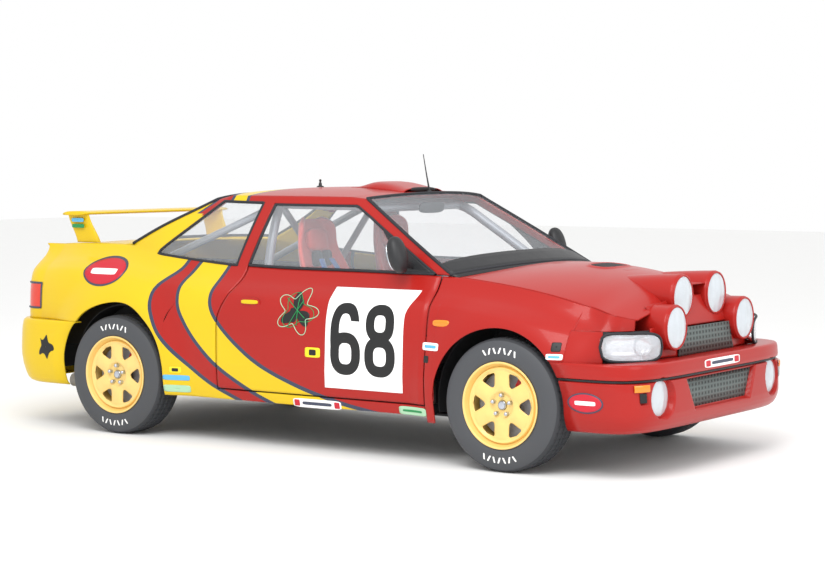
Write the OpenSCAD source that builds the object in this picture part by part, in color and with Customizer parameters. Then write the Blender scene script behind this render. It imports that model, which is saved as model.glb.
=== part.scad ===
// Two-door rally car. Millimetres, +X to the nose, +Y to the left, +Z up.
// The origin lies on the ground, under the middle of the car's length.

/* [Overall] */
// Distance between the axles
wheelbase = 2520; // [2200:10:3024]
// Front axle to the tip of the nose
front_overhang = 770; // [680:10:900]
// Rear axle to the end of the rear bumper
rear_overhang = 900; // [800:10:1080]
// Half of the body width at the doors
half_width = 850; // [760:10:1000]
// Ground to the top of the roof
roof_height = 1370; // [1250:10:1600]
// Ground to the window sills at the front
belt_height = 936; // [880:4:1020]

/* [Wheels] */
// Outer diameter of a tyre
tyre_d = 660; // [580:10:700]
// Width of a tyre
tyre_w = 204; // [170:2:230]
// Diameter of the rim seat, a 16 inch rim
rim_d = 406; // [356:1:480]
// Centre plane of the wheels, from the middle of the car
wheel_y = 778; // [740:2:820]
// Diameter of the stub axle in the hub
axle_d = 40; // [30:1:48]
// Radial play of the hub on its stub axle
axle_play = 0.05; // [0.02:0.01:0.1]
// Diameter of a brake disc
disc_d = 330; // [280:2:340]
// Steering pivots, from the middle of the car
kingpin_y = 650; // [640:2:656]
// Diameter of the circle of wheel studs
stud_pcd = 100; // [98:1:114.3]

/* [Arches] */
// Radius of the wheel arch edges
arch_r = 372; // [360:1:400]
// How far the arches stand proud of the doors
flare = 36; // [10:1:50]
// Radius of the front wheelhouses, clear of the turned wheels
wheelhouse_r = 412; // [408:1:420]

/* [Panels] */
// Thickness of a door
door_t = 64; // [50:1:75]
// Thickness of a wing or a bumper skin
skin_t = 8; // [6:1:12]
// Thickness of the bonnet and the boot lid
lid_t = 22; // [16:1:30]
// Thickness of the window glass
glass_t = 5; // [4:0.5:6]
// Gap round doors and lids
shut_gap = 9; // [8:0.5:12]
// Diameter of the hinge pins
hinge_d = 10; // [8:1:12]

/* [Lamps] */
// Diameter of an extra lamp on the bonnet
pod_lamp_d = 212; // [180:2:230]
// Diameter of a fog lamp
fog_lamp_d = 186; // [150:2:200]

/* [Cabin] */
// Diameter of the roll cage tubes
cage_d = 42; // [38:1:50]
// Diameter of the steering wheel
steering_d = 340; // [300:5:380]
// Middle of a seat, from the middle of the car
seat_y = 350; // [320:5:390]

/* [Wing] */
// Width of the rear wing
wing_w = 1290; // [1100:10:1400]
// Depth of the rear wing's blade
wing_chord = 170; // [140:5:220]
// Height of the rear wing above the ground
wing_top = 1225; // [1190:5:1320]

/* [Hidden] */

car_len = wheelbase + front_overhang + rear_overhang;
nose_x = car_len / 2;
tail_x = -car_len / 2;
front_x = nose_x - front_overhang;
rear_x = front_x - wheelbase;
axle_z = tyre_d / 2;
seam = 0.8;
$fn = 96;

// Colours
red = "#c93a2e";
yellow = "#f0d838";
black = "#262626";
gold = "#e9b45c";
silver = "#b9bdc2";
clear = "#dfe9ee";
grey = "#8d9093";

// ---- Curves ----
function mix(a, b, t) = a + (b - a) * t;
function clamp(v, a, b) = max(a, min(b, v));
function smooth(t) = let (c = clamp(t, 0, 1)) c * c * (3 - 2 * c);

// Smooth curve through [position, value] pairs in rising order, straight past its ends
function slope(p, i) = let (a = max(i - 1, 0), b = min(i + 1, len(p) - 1))
    (p[b][1] - p[a][1]) / (p[b][0] - p[a][0]);
function span_of(p, x, i = 0) = i >= len(p) - 2 || x < p[i + 1][0] ? i : span_of(p, x, i + 1);
function curve(p, x) = let (
    i = span_of(p, x),
    h = p[i + 1][0] - p[i][0],
    t = clamp((x - p[i][0]) / h, 0, 1),
    a = slope(p, i) * h,
    b = slope(p, i + 1) * h)
    (2 * pow(t, 3) - 3 * t * t + 1) * p[i][1] + (pow(t, 3) - 2 * t * t + t) * a
    + (3 * t * t - 2 * pow(t, 3)) * p[i + 1][1] + (pow(t, 3) - t * t) * b;

// Point of a superellipse quarter: angle 0 lies on the first half axis
function oval(a, b, n, angle) =
    [a * pow(max(cos(angle), 0), 2 / n), b * pow(max(sin(angle), 0), 2 / n)];

// ---- Panels ----
// Closed panel between an outer and an inner grid of points. keep says which cells stay.
module panel(outer, inner, keep = function(i, j) true) {
    n = len(outer);
    m = len(outer[0]);
    has = function(i, j) i >= 0 && j >= 0 && i < n - 1 && j < m - 1 && keep(i, j);
    o = function(i, j) i * m + j;
    k = function(i, j) n * m + i * m + j;
    faces = [for (i = [0:n - 2], j = [0:m - 2]) if (has(i, j)) each concat(
        [[o(i, j), o(i + 1, j), o(i + 1, j + 1)], [o(i, j), o(i + 1, j + 1), o(i, j + 1)],
         [k(i, j), k(i + 1, j + 1), k(i + 1, j)], [k(i, j), k(i, j + 1), k(i + 1, j + 1)]],
        has(i, j - 1) ? [] : [[o(i, j), k(i + 1, j), o(i + 1, j)], [o(i, j), k(i, j), k(i + 1, j)]],
        has(i, j + 1) ? [] : [[o(i, j + 1), o(i + 1, j + 1), k(i + 1, j + 1)],
            [o(i, j + 1), k(i + 1, j + 1), k(i, j + 1)]],
        has(i - 1, j) ? [] : [[o(i, j), o(i, j + 1), k(i, j + 1)], [o(i, j), k(i, j + 1), k(i, j)]],
        has(i + 1, j) ? [] : [[o(i + 1, j), k(i + 1, j + 1), o(i + 1, j + 1)],
            [o(i + 1, j), k(i + 1, j), k(i + 1, j + 1)]])];
    polyhedron(concat([for (row = outer) each row], [for (row = inner) each row]), faces);
}
function shift(grid, v) = [for (row = grid) [for (p = row) p + v]];
module both_sides() {
    children();
    mirror([0, 1, 0]) children();
}
module left_or_right(side) {
    if (side > 0) children();
    else mirror([0, 1, 0]) children();
}
module tube(a, b, d) {
    v = b - a;
    len_ab = norm(v);
    translate(a) rotate([0, acos(v[2] / len_ab), atan2(v[1], v[0])]) cylinder(d = d, h = len_ab, $fn = 24);
}

// ---- Stations along the car ----
door_front_x = front_x - 455;
door_rear_x = rear_x + 702;
hinge_x = door_front_x - 60;
hinge_y = half_width - 24;
door_low_z = 300;
sill_z = 240;
tail_lamp_x = rear_x - 640;
boot_half = 592;
boot_side_gap = shut_gap + 4;
cowl_x = front_x - 330;
pillar_top_x = front_x - 1030;
roof_edge_z = roof_height - 46;
front_arch_x = front_x - 23;
rear_arch_x = rear_x - 20;
front_arch_z = axle_z + 5;
rear_arch_z = axle_z + 33;

// Height of the upper edge of the side: window sills, wing seams and boot edges
edge_heights = [
    [rear_x - 840, 78], [rear_x - 640, 98], [rear_x - 440, 108], [rear_x - 60, 104],
    [rear_x + 170, 64], [door_rear_x + 120, 12], [door_front_x - 400, 4], [front_x - 400, 0],
    [front_x - 260, -10], [front_x - 10, -40], [front_x + 220, -80], [front_x + 476, -144],
    [front_x + 600, -179], [front_x + 700, -210]];
function edge_z(x) = belt_height + curve(edge_heights, x);

// How far the side leans in, a given height below its upper edge
lean = [[0, 144], [40, 122], [75, 96], [110, 60], [150, 28], [235, 6], [335, 0]];
function lean_gain(x) = 1 + 0.4 * smooth((rear_x + 250 - x) / 350)
    - 0.7 * smooth((x - front_x - 380) / 220);
// The plan of the side, as insets from the half width
plan = [[tail_x, 120], [rear_x - 500, 28], [rear_x - 200, 6], [rear_x + 500, 2], [0, 0],
    [front_x - 400, 2], [front_x, 4], [front_x + 300, 10], [front_x + 476, 51], [front_x + 540, 104],
    [front_x + 600, 197], [front_x + 640, 300]];
tuck = [[200, 34], [300, 12], [430, 0]];
function arch_reach(x, z, ax, az) = norm([x - ax, z - az]) - arch_r;
function flare_at(x, z, ax, az) = flare * (1 - smooth(arch_reach(x, z, ax, az) / 190));
function side_y(x, z) = let (d = edge_z(x) - z)
    half_width - curve(plan, x) - curve(lean, d) * lean_gain(x) - curve(tuck, z)
    + (flare_at(x, z, front_arch_x, front_arch_z) + flare_at(x, z, rear_arch_x, rear_arch_z))
    * smooth(d / 160 + 0.15);
// Half width of an arch opening at a height
function arch_half(z, az) = z < az ? arch_r : sqrt(max(arch_r * arch_r - pow(z - az, 2), 0));
function arch_low(x, ax, az, low) = abs(x - ax) >= arch_r ? low
    : az + sqrt(arch_r * arch_r - pow(x - ax, 2));

// ---- Windows and roof ----
roof_half = [[rear_x + 340, 520], [rear_x + 700, 545], [0, 556], [front_x - 1100, 552], [front_x - 980, 545]];
function roof_y(x) = half_width - 850 + curve(roof_half, x);
// Upper edge of the windscreen and of the rear window, bowed in plan
crown = [[rear_x + 300, 66], [rear_x + 520, 24], [rear_x + 820, 4], [0, 0], [front_x - 1150, 12],
    [front_x - 950, 34]];
function roof_z(x, y) = roof_height - curve(crown, x)
    - (46 - curve(crown, x) * 0.45) * pow(abs(y) / roof_y(x), 2.2);

// ---- Sides ----
// Columns of the body side, front to rear: place at the sill, the window sill, the roof edge
bumper_top_z = 611;
front_bumper_top_z = 560.6;
side_columns = [
    [door_front_x, front_x - 400, pillar_top_x],
    [door_front_x, front_x - 482, pillar_top_x - 110],
    [front_x - 700, front_x - 720, pillar_top_x - 200],
    [mix(door_front_x, door_rear_x, 0.5), mix(front_x - 720, rear_x + 810, 0.4), pillar_top_x - 320],
    [door_rear_x + 300, rear_x + 1040, rear_x + 1050],
    [door_rear_x + 120, rear_x + 900, rear_x + 960],
    [door_rear_x, rear_x + 812, rear_x + 900],
    [door_rear_x - 170, rear_x + 740, rear_x + 826],
    [rear_arch_x + arch_r + 4, rear_x + 640, rear_x + 770],
    [rear_arch_x + arch_r - 1, rear_x + 560, rear_x + 730],
    [rear_arch_x + arch_r * 0.86, rear_x + 480, rear_x + 690],
    [rear_arch_x + arch_r * 0.5, rear_x + 320, rear_x + 630],
    [rear_arch_x, rear_x + 168, rear_x + 570],
    [rear_arch_x - arch_r * 0.5, rear_x - 56, rear_x + 460],
    [rear_arch_x - arch_r * 0.74, rear_x - 220, 0],
    [rear_arch_x - arch_r, rear_x - 340, 0],
    [rear_x - 520, rear_x - 500, 0],
    [tail_lamp_x, tail_lamp_x, 0]];
corner_turns = [0.25, 0.5, 0.75, 1];
side_count = len(side_columns) + len(corner_turns);
low_rows = [0, 0.14, 0.3, 0.48, 0.66, 0.84, 1];
high_rows = [0.33, 0.66, 0.9, 1];
// Lines that stand upright low down bend towards their place at the window sill
function bend(a, b, z) = mix(a, b, smooth((z - 640) / 300));
function side_low(x) = x < rear_arch_x ? max(arch_low(x, rear_arch_x, rear_arch_z, 0), bumper_top_z)
    : arch_low(x, rear_arch_x, rear_arch_z, sill_z);
function rail_y(x, t) = mix(side_y(x, edge_z(x)), roof_y(x), t) + 9 * sin(180 * t);
function side_point(c, j) = let (
    col = side_columns[c],
    t = j <= 6 ? low_rows[j] : high_rows[j - 7],
    over_door = c >= 1 && c <= 6,
    low = side_low(col[0]),
    z = j > 6 ? mix(edge_z(col[1]) + 8, roof_edge_z + (c == 13 ? -26 : c == 0 ? -10 : 0), t)
        : j == 1 && over_door ? door_low_z - shut_gap
        : mix(low, edge_z(col[1]) + (c <= 6 ? 8 : 0), t),
    x = j > 6 ? mix(col[1], col[2], t) : bend(col[0], col[1], z))
    [x, j > 6 ? rail_y(x, t) : side_y(x, z), z];
// The rear corner turns from the side to the boot lid
function corner_point(turn, z, deep) = let (
    p = oval(1, 1, 2.6, 90 * (1 - turn)),
    inner_y = boot_half + boot_side_gap,
    reach = 172 - 60 * smooth((z - 850) / 180))
    [tail_lamp_x - (reach - deep) * p[0], mix(inner_y, side_y(tail_lamp_x, z) - deep, p[1]), z];
function body_point(c, j) = c < len(side_columns) ? side_point(c, j)
    : let (z = mix(bumper_top_z, edge_z(tail_lamp_x), min(low_rows[min(j, 6)], 1)))
    corner_point(corner_turns[c - len(side_columns)], z, 0);
function side_inward(c, j) = c == side_count - 1 ? [14, 0, 0]
    : c > 13 ? [c > 17 ? 10 : 0, c > 16 ? -4 : -12, 0]
    : j == 10 ? [0, -32, -14]
    : j > 6 ? [0, -40, 0]
    : [c == 6 ? 16 : 0, c == 13 ? -20 : -52, 0];
side_outer = [for (c = [side_count - 1:-1:0]) [for (j = [0:10]) body_point(c, j)]];
side_inner = [for (c = [side_count - 1:-1:0]) [for (j = [0:10]) body_point(c, j) + side_inward(c, j)]];
side_cells = function(i, j) let (c = side_count - 2 - i)
    !(c == 0 && j < 6) && !(c >= 1 && c <= 5 && j >= 1 && j <= 8)
    && !(c >= 7 && c <= 11 && j >= 6 && j <= 8) && !(c >= 13 && j >= 6)
    && !(c >= 17 && j >= 1 && j <= 2);
module body_side(side) {
    color(yellow) left_or_right(side) panel(side_outer, side_inner, side_cells);
}
module body_side_left() {
    body_side(1);
}
module body_side_right() {
    body_side(-1);
}

// Front wings, from the door to the headlamp
wing_columns = [door_front_x + shut_gap, front_x - 420, front_arch_x - arch_r - 4,
    front_arch_x - arch_r + 1, front_arch_x - arch_r * 0.9, front_arch_x - arch_r * 0.6,
    front_arch_x - arch_r * 0.2, front_arch_x + arch_r * 0.25, front_arch_x + arch_r * 0.6,
    front_arch_x + arch_r * 0.82, front_x + 350, front_x + 370, front_x + 470, front_x + 545, front_x + 600];
headlamp_top_z = 704;
function wing_low(x) = x > front_x + 360 ? headlamp_top_z + seam
    : x > front_arch_x ? max(arch_low(x, front_arch_x, front_arch_z, 0), front_bumper_top_z)
    : arch_low(x, front_arch_x, front_arch_z, 212);
function wing_point(x, t) = let (z = mix(wing_low(x), edge_z(x), t)) [x, side_y(x, z), z];
module front_wing(side) {
    rows = [0, 0.18, 0.36, 0.54, 0.72, 0.88, 1];
    outer = [for (x = wing_columns) [for (t = rows) wing_point(x, t)]];
    color(red) left_or_right(side) panel(outer, shift(outer, [0, -skin_t, 0]));
}
module front_wing_left() {
    front_wing(1);
}
module front_wing_right() {
    front_wing(-1);
}

// ---- Bumpers ----
// Rows: height, how far the row lies behind the bumper's tip, and how far inside its side
front_bumper_rows = [[226, 60, 26], [262, 10, 6], [310, 0, 0], [390, 4, 0], [470, 8, 0],
    [486, 14, 4], [540, 16, 0], [560, 22, 3], [560, 120, 40]];
shelf_t = 12;
function front_bumper_point(row, angle) = let (
    z = row[0],
    start = front_arch_x + arch_half(z, front_arch_z) + 2,
    p = oval(nose_x - row[1] - start, side_y(start, min(z, 540)) - row[2], 5.5, abs(angle)))
    [start + p[0], sign(angle) * p[1], z];
bumper_angles = [90, 78, 62, 45, 31, 20, 11, 4.5, 1.1, 0, -1.1, -4.5, -11, -20, -31, -45, -62, -78, -90];
module front_bumper() {
    outer = [for (a = bumper_angles) [for (r = front_bumper_rows) front_bumper_point(r, a)]];
    inner = [for (a = bumper_angles) [for (r = front_bumper_rows)
        front_bumper_point([r[0], r[1] + skin_t + 2, r[2] + skin_t], a) - [0, 0, r[0] > 550 ? shelf_t : 0]]];
    color(red) panel(outer, inner, function(i, j) !(j >= 2 && j <= 3 && i >= 6 && i <= 11)
        && !(j >= 2 && j <= 3 && (i == 4 || i == 13)));
}
rear_bumper_rows = [[246, 70, 30], [300, 20, 8], [400, 0, 0], [520, 0, 0], [590, 4, 2], [610, 14, 8], [610, 110, 60]];
function rear_bumper_point(row, angle) = let (
    z = row[0],
    start = rear_arch_x - arch_half(z, rear_arch_z) - 2,
    p = oval(start - tail_x - row[1], side_y(start, z) + 4 - row[2], 4.6, abs(angle)))
    [start - p[0], sign(angle) * p[1], z];
module rear_bumper() {
    outer = [for (i = [18:-1:0]) [for (r = rear_bumper_rows) rear_bumper_point(r, bumper_angles[i])]];
    inner = [for (i = [18:-1:0]) [for (r = rear_bumper_rows)
        rear_bumper_point([r[0], r[1] + skin_t + 2, r[2] + skin_t], bumper_angles[i]) - [0, 0, r[0] > 600 ? shelf_t : 0]]];
    color(yellow) panel(outer, inner);
}

// ---- Roof, screens and lids ----
// Grid over the car's width, from the left edge to the right edge
across = [1, 0.86, 0.66, 0.42, 0.2, 0, -0.2, -0.42, -0.66, -0.86, -1];
// Bow of the cross lines, forwards over the windscreen and backwards over the rear window
function roof_bow(x) = mix(-60, 70, (x - rear_x - 460) / (pillar_top_x - rear_x - 460));
function roof_point(c, s) = let (
    e = side_point(c, 10),
    x = e[0] + roof_bow(e[0]) * (1 - s * s))
    [x, s * (e[1] - 1), e[2] + (roof_height - curve(crown, x) - e[2]) * (1 - pow(abs(s), 2.2))];
module roof() {
    outer = [for (c = [13:-1:0]) [for (s = across) roof_point(c, s)]];
    inner = [for (c = [13:-1:0]) [for (s = across)
        roof_point(c, s) + (abs(s) == 1 ? [0, -s * 32, -14] : [0, 0, -28])]];
    color(red) panel(outer, inner);
}
// A screen bowed between the two pillars. c is the pillar's column.
function screen_point(c, j, s, bow, rise) = let (
    e = side_point(c, j),
    t = j == 6 ? 0 : high_rows[j - 7])
    [e[0] + mix(bow[0], bow[1], t) * (1 - s * s), s * (e[1] - 3),
    (j == 6 ? edge_z(e[0]) + 8 : e[2]) + mix(rise[0], rise[1], t) * (1 - pow(abs(s), 2.2))];
screen_bow = [140, 70];
screen_rise = [40, roof_height - curve(crown, pillar_top_x + 70) - roof_edge_z + 10];
backlight_bow = [-110, -60];
backlight_rise = [14, roof_height - curve(crown, rear_x + 400) - roof_edge_z + 26];
module windscreen() {
    sheet = [for (j = [10:-1:6]) [for (s = across) screen_point(0, j, s, screen_bow, screen_rise)]];
    out = [0.55, 0, 0.83];
    color(clear) panel(shift(sheet, out * (seam + glass_t)), shift(sheet, out * seam));
}
module rear_window() {
    sheet = [for (j = [6:10]) [for (s = across) screen_point(13, j, s, backlight_bow, backlight_rise)]];
    out = [-0.5, 0, 0.86];
    color(clear) panel(shift(sheet, out * (seam + glass_t)), shift(sheet, out * seam));
}
function bonnet_start(s) = let (p = screen_point(0, 6, s, screen_bow, screen_rise)) p[0] + 46;
// Black strip at the foot of the windscreen
module cowl_panel() {
    outer = [for (k = [0, 1, 2]) [for (s = across) let (
        p = screen_point(0, 6, s, screen_bow, screen_rise) - [0, s * 58, 0],
        front_line = bonnet_start(s) - shut_gap)
        k == 0 ? p - [14, 0, 0] : k == 1 ? p : [front_line, p[1], p[2] - 12]]];
    color(black) panel(outer, shift(outer, [0, 0, -14]));
}
bonnet_front_x = front_x + 602;
bonnet_crown = [[cowl_x, 52], [front_x - 10, 92], [front_x + 220, 110], [front_x + 390, 118],
    [front_x + 520, 100], [bonnet_front_x, 60]];
function bonnet_half(x) = side_y(x, edge_z(x)) - shut_gap - skin_t;
function bonnet_z(x, y) = edge_z(x) + curve(bonnet_crown, x) * (1 - pow(min(abs(y) / bonnet_half(x), 1), 2));
bonnet_steps = [0, 0.1, 0.25, 0.42, 0.6, 0.76, 0.88, 0.95, 1];
function bonnet_point(t, s) = let (x = mix(bonnet_start(s), bonnet_front_x, t), y = s * bonnet_half(x))
    [x, y, bonnet_z(x, y)];
module bonnet() {
    outer = [for (t = bonnet_steps) [for (s = across) bonnet_point(t, s)]];
    color(red) panel(outer, shift(outer, [0, 0, -lid_t]));
}
// Boot lid: deck, rounded edge and rear face down to the bumper
boot_hinge_x = rear_x - 218;
boot_path = [[0, 0, 0], [150, -2, 0], [320, -10, 0], [480, -22, 0.25], [560, -44, 0.6], [592, -90, 0.9],
    [606, -180, 1], [612, -300, 1], [600, -392, 1]];
function boot_point(k, s) = let (p = boot_path[k], y = s * boot_half)
    [boot_hinge_x - p[0] + 60 * s * s * (0.15 + p[2]) * (k == 0 ? 0 : 1), y,
    belt_height + 116 + p[1] - 18 * s * s * (1 - p[2])];
module boot_lid() {
    outer = [for (k = [len(boot_path) - 1:-1:0]) [for (s = across) boot_point(k, s)]];
    inner = [for (k = [len(boot_path) - 1:-1:0]) [for (s = across)
        boot_point(k, s) + lid_t * [boot_path[k][2], 0, boot_path[k][2] - 1]]];
    color(yellow) panel(outer, inner);
}
// The wing stands on the boot lid, on one leg at each end
wing_y = wing_w / 2;
wing_x = rear_x - 440;
leg_y = boot_half - 34;
module rear_wing() {
    foot = [for (k = [1, 2]) boot_point(k, (leg_y - 9) / boot_half) + [0, 0, seam]];
    color(yellow) {
        translate([0, wing_y, 0]) rotate([90, 0, 0]) linear_extrude(wing_w)
            polygon([[wing_x, wing_top - 26], [wing_x, wing_top - 8], [wing_x - 40, wing_top],
                [wing_x - wing_chord, wing_top - 6], [wing_x - wing_chord, wing_top - 20]]);
        both_sides() translate([0, leg_y + 9, 0]) rotate([90, 0, 0]) linear_extrude(18)
            polygon([[wing_x - 6, wing_top - 20], [wing_x - wing_chord + 10, wing_top - 18],
                [foot[1][0], foot[1][2]], [foot[0][0], foot[0][2]]]);
    }
}

module roof_scoop() {
    rows = [[-130, 1.2], [-40, 30], [60, 36], [150, 34], [230, 22]];
    x0 = pillar_top_x - 250;
    outer = [for (r = rows) [for (s = across) let (y = s * 190)
        [x0 + r[0], y, roof_z(x0 + r[0], y) + 1.2 + (r[1] - 1.2) * (1 - pow(s, 4)) + 1]]];
    inner = [for (r = rows) [for (s = across) let (y = s * 190)
        [x0 + r[0], y, roof_z(x0 + r[0], y) + 0.9]]];
    color(red) panel(outer, inner);
}

module quarter_windows() {
    edge = function(c, j) side_point(c, j)
        + [c == 7 ? -seam : c == 12 ? seam + 0.4 : 0, -2, j == 6 ? seam : j == 9 ? -seam - 0.2 : 0];
    outer = [for (c = [12:-1:7]) [for (j = [6:9]) edge(c, j)]];
    color(clear) both_sides() panel(outer, shift(outer, [0, -glass_t, 0]));
}

// ---- Lamps and grilles ----
headlamp_start_x = front_x + 235;
headlamp_inner_y = 500;
function headlamp_point(angle, z, deep) = let (
    p = oval(450 - deep, half_width - 5 - deep, 3, angle))
    [max(headlamp_start_x + p[0], front_x + 372), max(p[1], headlamp_inner_y), z];
module front_lamps() {
    angles = [79, 73, 66, 58, 50, 42, 35, 28.5];
    rows = [front_bumper_top_z, 610, 660, headlamp_top_z];
    outer = [for (a = angles) [for (z = rows) headlamp_point(a, z, z > 690 ? 12 : 0)]];
    inner = [for (a = angles) [for (z = rows) headlamp_point(a, z, 70)]];
    color(clear) both_sides() panel(outer, inner);
    color(clear) both_sides() translate([bumper_beam_x + 0.4, 596, 390]) rotate([0, 90, 0])
        cylinder(d = fog_lamp_d, h = 76);
}
module tail_lamps() {
    turns = concat([0], corner_turns);
    rows = [for (j = [1:3]) body_point(side_count - 1, j)[2] + (j == 1 ? seam : j == 3 ? -seam : 0)];
    spot = function(a, z, deep) corner_point(turns[a], z, deep) - [seam, 0, 0];
    outer = [for (a = [4:-1:0]) [for (z = rows) spot(a, z, 0)]];
    inner = [for (a = [4:-1:0]) [for (z = rows) spot(a, z, 26)]];
    color("firebrick") both_sides() panel(outer, inner);
}
bumper_beam_x = front_x + 630;
module grilles() {
    color(grey) {
        translate([nose_x - 104, -248, 560 + seam]) cube([14, 496, 132]);
        translate([nose_x - 62, -372, 314]) cube([12, 744, 152]);
    }
}
pod_places = [[183, 847, 30], [378, 709, 100]];
module lamp_pods() {
    x0 = bonnet_front_x + 0.6;
    color(red) {
        translate([x0, -440, 700]) cube([14, 880, 110]);
        both_sides() for (p = pod_places)
            translate([x0, p[0], p[1]]) rotate([0, 90, 0]) cylinder(d = pod_lamp_d + 12, h = p[2]);
    }
}

// ---- Doors ----
function door_point(t, r) = let (
    x0 = t == 0 ? door_front_x : mix(hinge_x - 24, door_rear_x + shut_gap, max(t - 0.03, 0) / 0.97),
    x1 = t == 0 ? door_front_x : mix(hinge_x - 24, rear_x + 812 + shut_gap, max(t - 0.03, 0) / 0.97),
    z = mix(door_low_z, edge_z(x1), r),
    x = bend(x0, x1, z))
    [x + (t == 0.0285 ? 0.5 : 0), side_y(x, z), z];
module hinge_places() {
    for (z = [410, 590]) translate([hinge_x, hinge_y, z]) children();
}
module door(side) {
    rows = [0, 0.25, 0.5, 0.7, 0.84, 0.93, 1];
    ts = [1, 0.82, 0.62, 0.42, 0.22, 0.03, 0.0285, 0];
    outer = [for (t = ts) [for (r = rows) door_point(t, r)]];
    inner = [for (t = ts) [for (r = rows)
        door_point(t, r) + (t < 0.029 ? [0, -6, 0] : [t == 1 ? 34 : 0, -door_t, 0])]];
    left_or_right(side) door_mirror();
    color(red) left_or_right(side) {
        panel(outer, inner);
        hinge_places() difference() {
            union() {
                cylinder(d = hinge_d + 10, h = 40);
                translate([-23.1, -6, 0]) cube([16, 12, 40]);
            }
            translate([0, 0, -1]) cylinder(d = hinge_d + 0.1, h = 42);
        }
    }
}
module door_glass(side) {
    edge = function(c, j) side_point(c, j)
        + [c == 1 ? -shut_gap * 1.2 : c == 6 ? shut_gap + 2 : 0, -5, j == 6 ? seam - 8 : j == 9 ? -shut_gap : 0];
    outer = [for (c = [6:-1:1]) [for (j = [6:9]) edge(c, j)]];
    color(clear) left_or_right(side) panel(outer, shift(outer, [0, -glass_t, 0]));
}
module door_glass_left() {
    door_glass(1);
}
module door_glass_right() {
    door_glass(-1);
}
mirror_x = front_x - 665;
module door_mirror() {
    foot_y = side_y(mirror_x, edge_z(mirror_x)) - 5 + 0.3;
    color(black) {
        slab(mirror_x - 40, mirror_x + 40, half_width - 118, half_width, belt_height + 34, belt_height + 196);
        slab(mirror_x - 20, mirror_x + 20, foot_y, foot_y + 26, belt_height + 4, belt_height + 70);
        slab(mirror_x - 20, mirror_x + 20, foot_y + 25, half_width - 60, belt_height + 50, belt_height + 70);
    }
}

module door_left() {
    door(1);
}
module door_right() {
    door(-1);
}

// ---- Structure ----
cabin_y = 620;
floor_z = 225;
firewall_x = front_x - 345;
module slab(x0, x1, y0, y1, z0, z1) {
    translate([x0, y0, z0]) cube([x1 - x0, y1 - y0, z1 - z0]);
}
module wheelhouse(x, z, inner_y, outer_y, r, low) {
    translate([x, outer_y, z]) rotate([90, 0, 0]) difference() {
        cylinder(r = r + 6, h = outer_y - inner_y);
        translate([-r - 10, -r - 200, -2]) cube([2 * r + 20, r + 200 + low, outer_y - inner_y + 4]);
    }
}
module wheel_space(x, z, inner_y, r) {
    translate([x, half_width, z]) rotate([90, 0, 0]) cylinder(r = r, h = half_width - inner_y - 6);
}
floor_front_x = firewall_x + 20;
tower_y = 470;
rear_house_y = 640;
house_out = half_width - 60;
module cross_slab(x0, x1, half, z0, z1) {
    slab(x0, x1, -half, half, z0, z1);
}
module rubber_stop(at, foot_z) {
    translate([at[0], at[1], foot_z]) cylinder(d = 8, h = at[2] - foot_z, $fn = 32);
}
module floor_pan() {
    sill_out = half_width - 98;
    floor_rear_x = rear_x + 421.6;
    color(black) difference() {
        union() {
            cross_slab(floor_rear_x, floor_front_x, cabin_y + 60, floor_z, floor_z + 12);
            both_sides() slab(floor_rear_x, hinge_x + 20, cabin_y + 50, sill_out, floor_z + 8, floor_z + 64);
        }
        both_sides() wheel_space(front_x, axle_z, tower_y, wheelhouse_r);
    }
}
// Firewall, door pillars, wheelhouses, rails and the beam behind the front bumper
module front_frame() {
    wing_y0 = min([for (x = [-440, -428], z = [480, 500]) side_y(front_x + x, z)]) - skin_t - 1;
    base_z = floor_z + 12.6;
    color(black) {
        difference() {
            union() {
                cross_slab(firewall_x, floor_front_x, cabin_y - 60, base_z, belt_height - 40);
                cross_slab(bumper_beam_x - 60, bumper_beam_x, 700, 360, 440);
                cross_slab(bumper_beam_x - 10, nose_x - 62.6, 340, 370, 430);
                cross_slab(bumper_beam_x - 90, bumper_beam_x, 300, 430, 445);
                cross_slab(bumper_beam_x - 20, bumper_beam_x, 300, 430, 547);
                cross_slab(bumper_beam_x - 20, nose_x - 70, 300, 532, 560 - shelf_t - 0.6);
                both_sides() {
                    slab(hinge_x - 30, front_x - 425, cabin_y - 60, cabin_y, base_z, belt_height - 40);
                    slab(front_x - 440, front_x - 428, cabin_y - 10, wing_y0, 480, 500);
                    slab(firewall_x, front_x + 600, 380, 430, 400, 460);
                    wheelhouse(front_x, axle_z, tower_y, house_out, wheelhouse_r, -70);
                    hinge_places() {
                        translate([0, 0, -12]) cylinder(d = hinge_d, h = 64, $fn = 48);
                        translate([-8, -hinge_y + cabin_y - 10, -12]) cube([16, hinge_y - cabin_y + 10, 8]);
                        translate([-8, -hinge_y + cabin_y - 10, 44]) cube([16, hinge_y - cabin_y + 10, 8]);
                    }
                }
            }
            both_sides() wheel_space(front_x, axle_z, tower_y, wheelhouse_r);
        }
        both_sides() {
            slab(front_x - 60, front_x + 60, tower_y, kingpin_y + 20, 700, 712);
            rubber_stop(bonnet_point(bonnet_steps[7], across[3]) - [0, 0, lid_t + 3.4], 430);
        }
    }
}
// Boot floor and walls, rear wheelhouses and the panel behind the rear bumper
module rear_frame() {
    color(black) {
        difference() {
            union() {
                cross_slab(rear_x + 395, rear_x + 421, cabin_y - 10, floor_z, 470);
                cross_slab(rear_x - 760, rear_x + 400, cabin_y - 10, 455, 470);
                cross_slab(rear_x - 785, rear_x - 755, 540, 300, 610 - shelf_t - 0.6);
                both_sides() {
                    slab(rear_x - 660, rear_x + 200, cabin_y - 20, cabin_y - 5, 460, 900);
                    wheelhouse(rear_x, axle_z + 15, rear_house_y, house_out, arch_r - 6, 60);
                    slab(rear_x - 100, rear_x + 100, cabin_y - 12, rear_house_y + 2, 640, 690);
                }
            }
            both_sides() wheel_space(rear_x, axle_z + 15, rear_house_y, arch_r - 6);
        }
        rubber_stop(boot_point(8, 0) + [lid_t / 2, 0, -seam], 610.6);
    }
}

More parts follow.
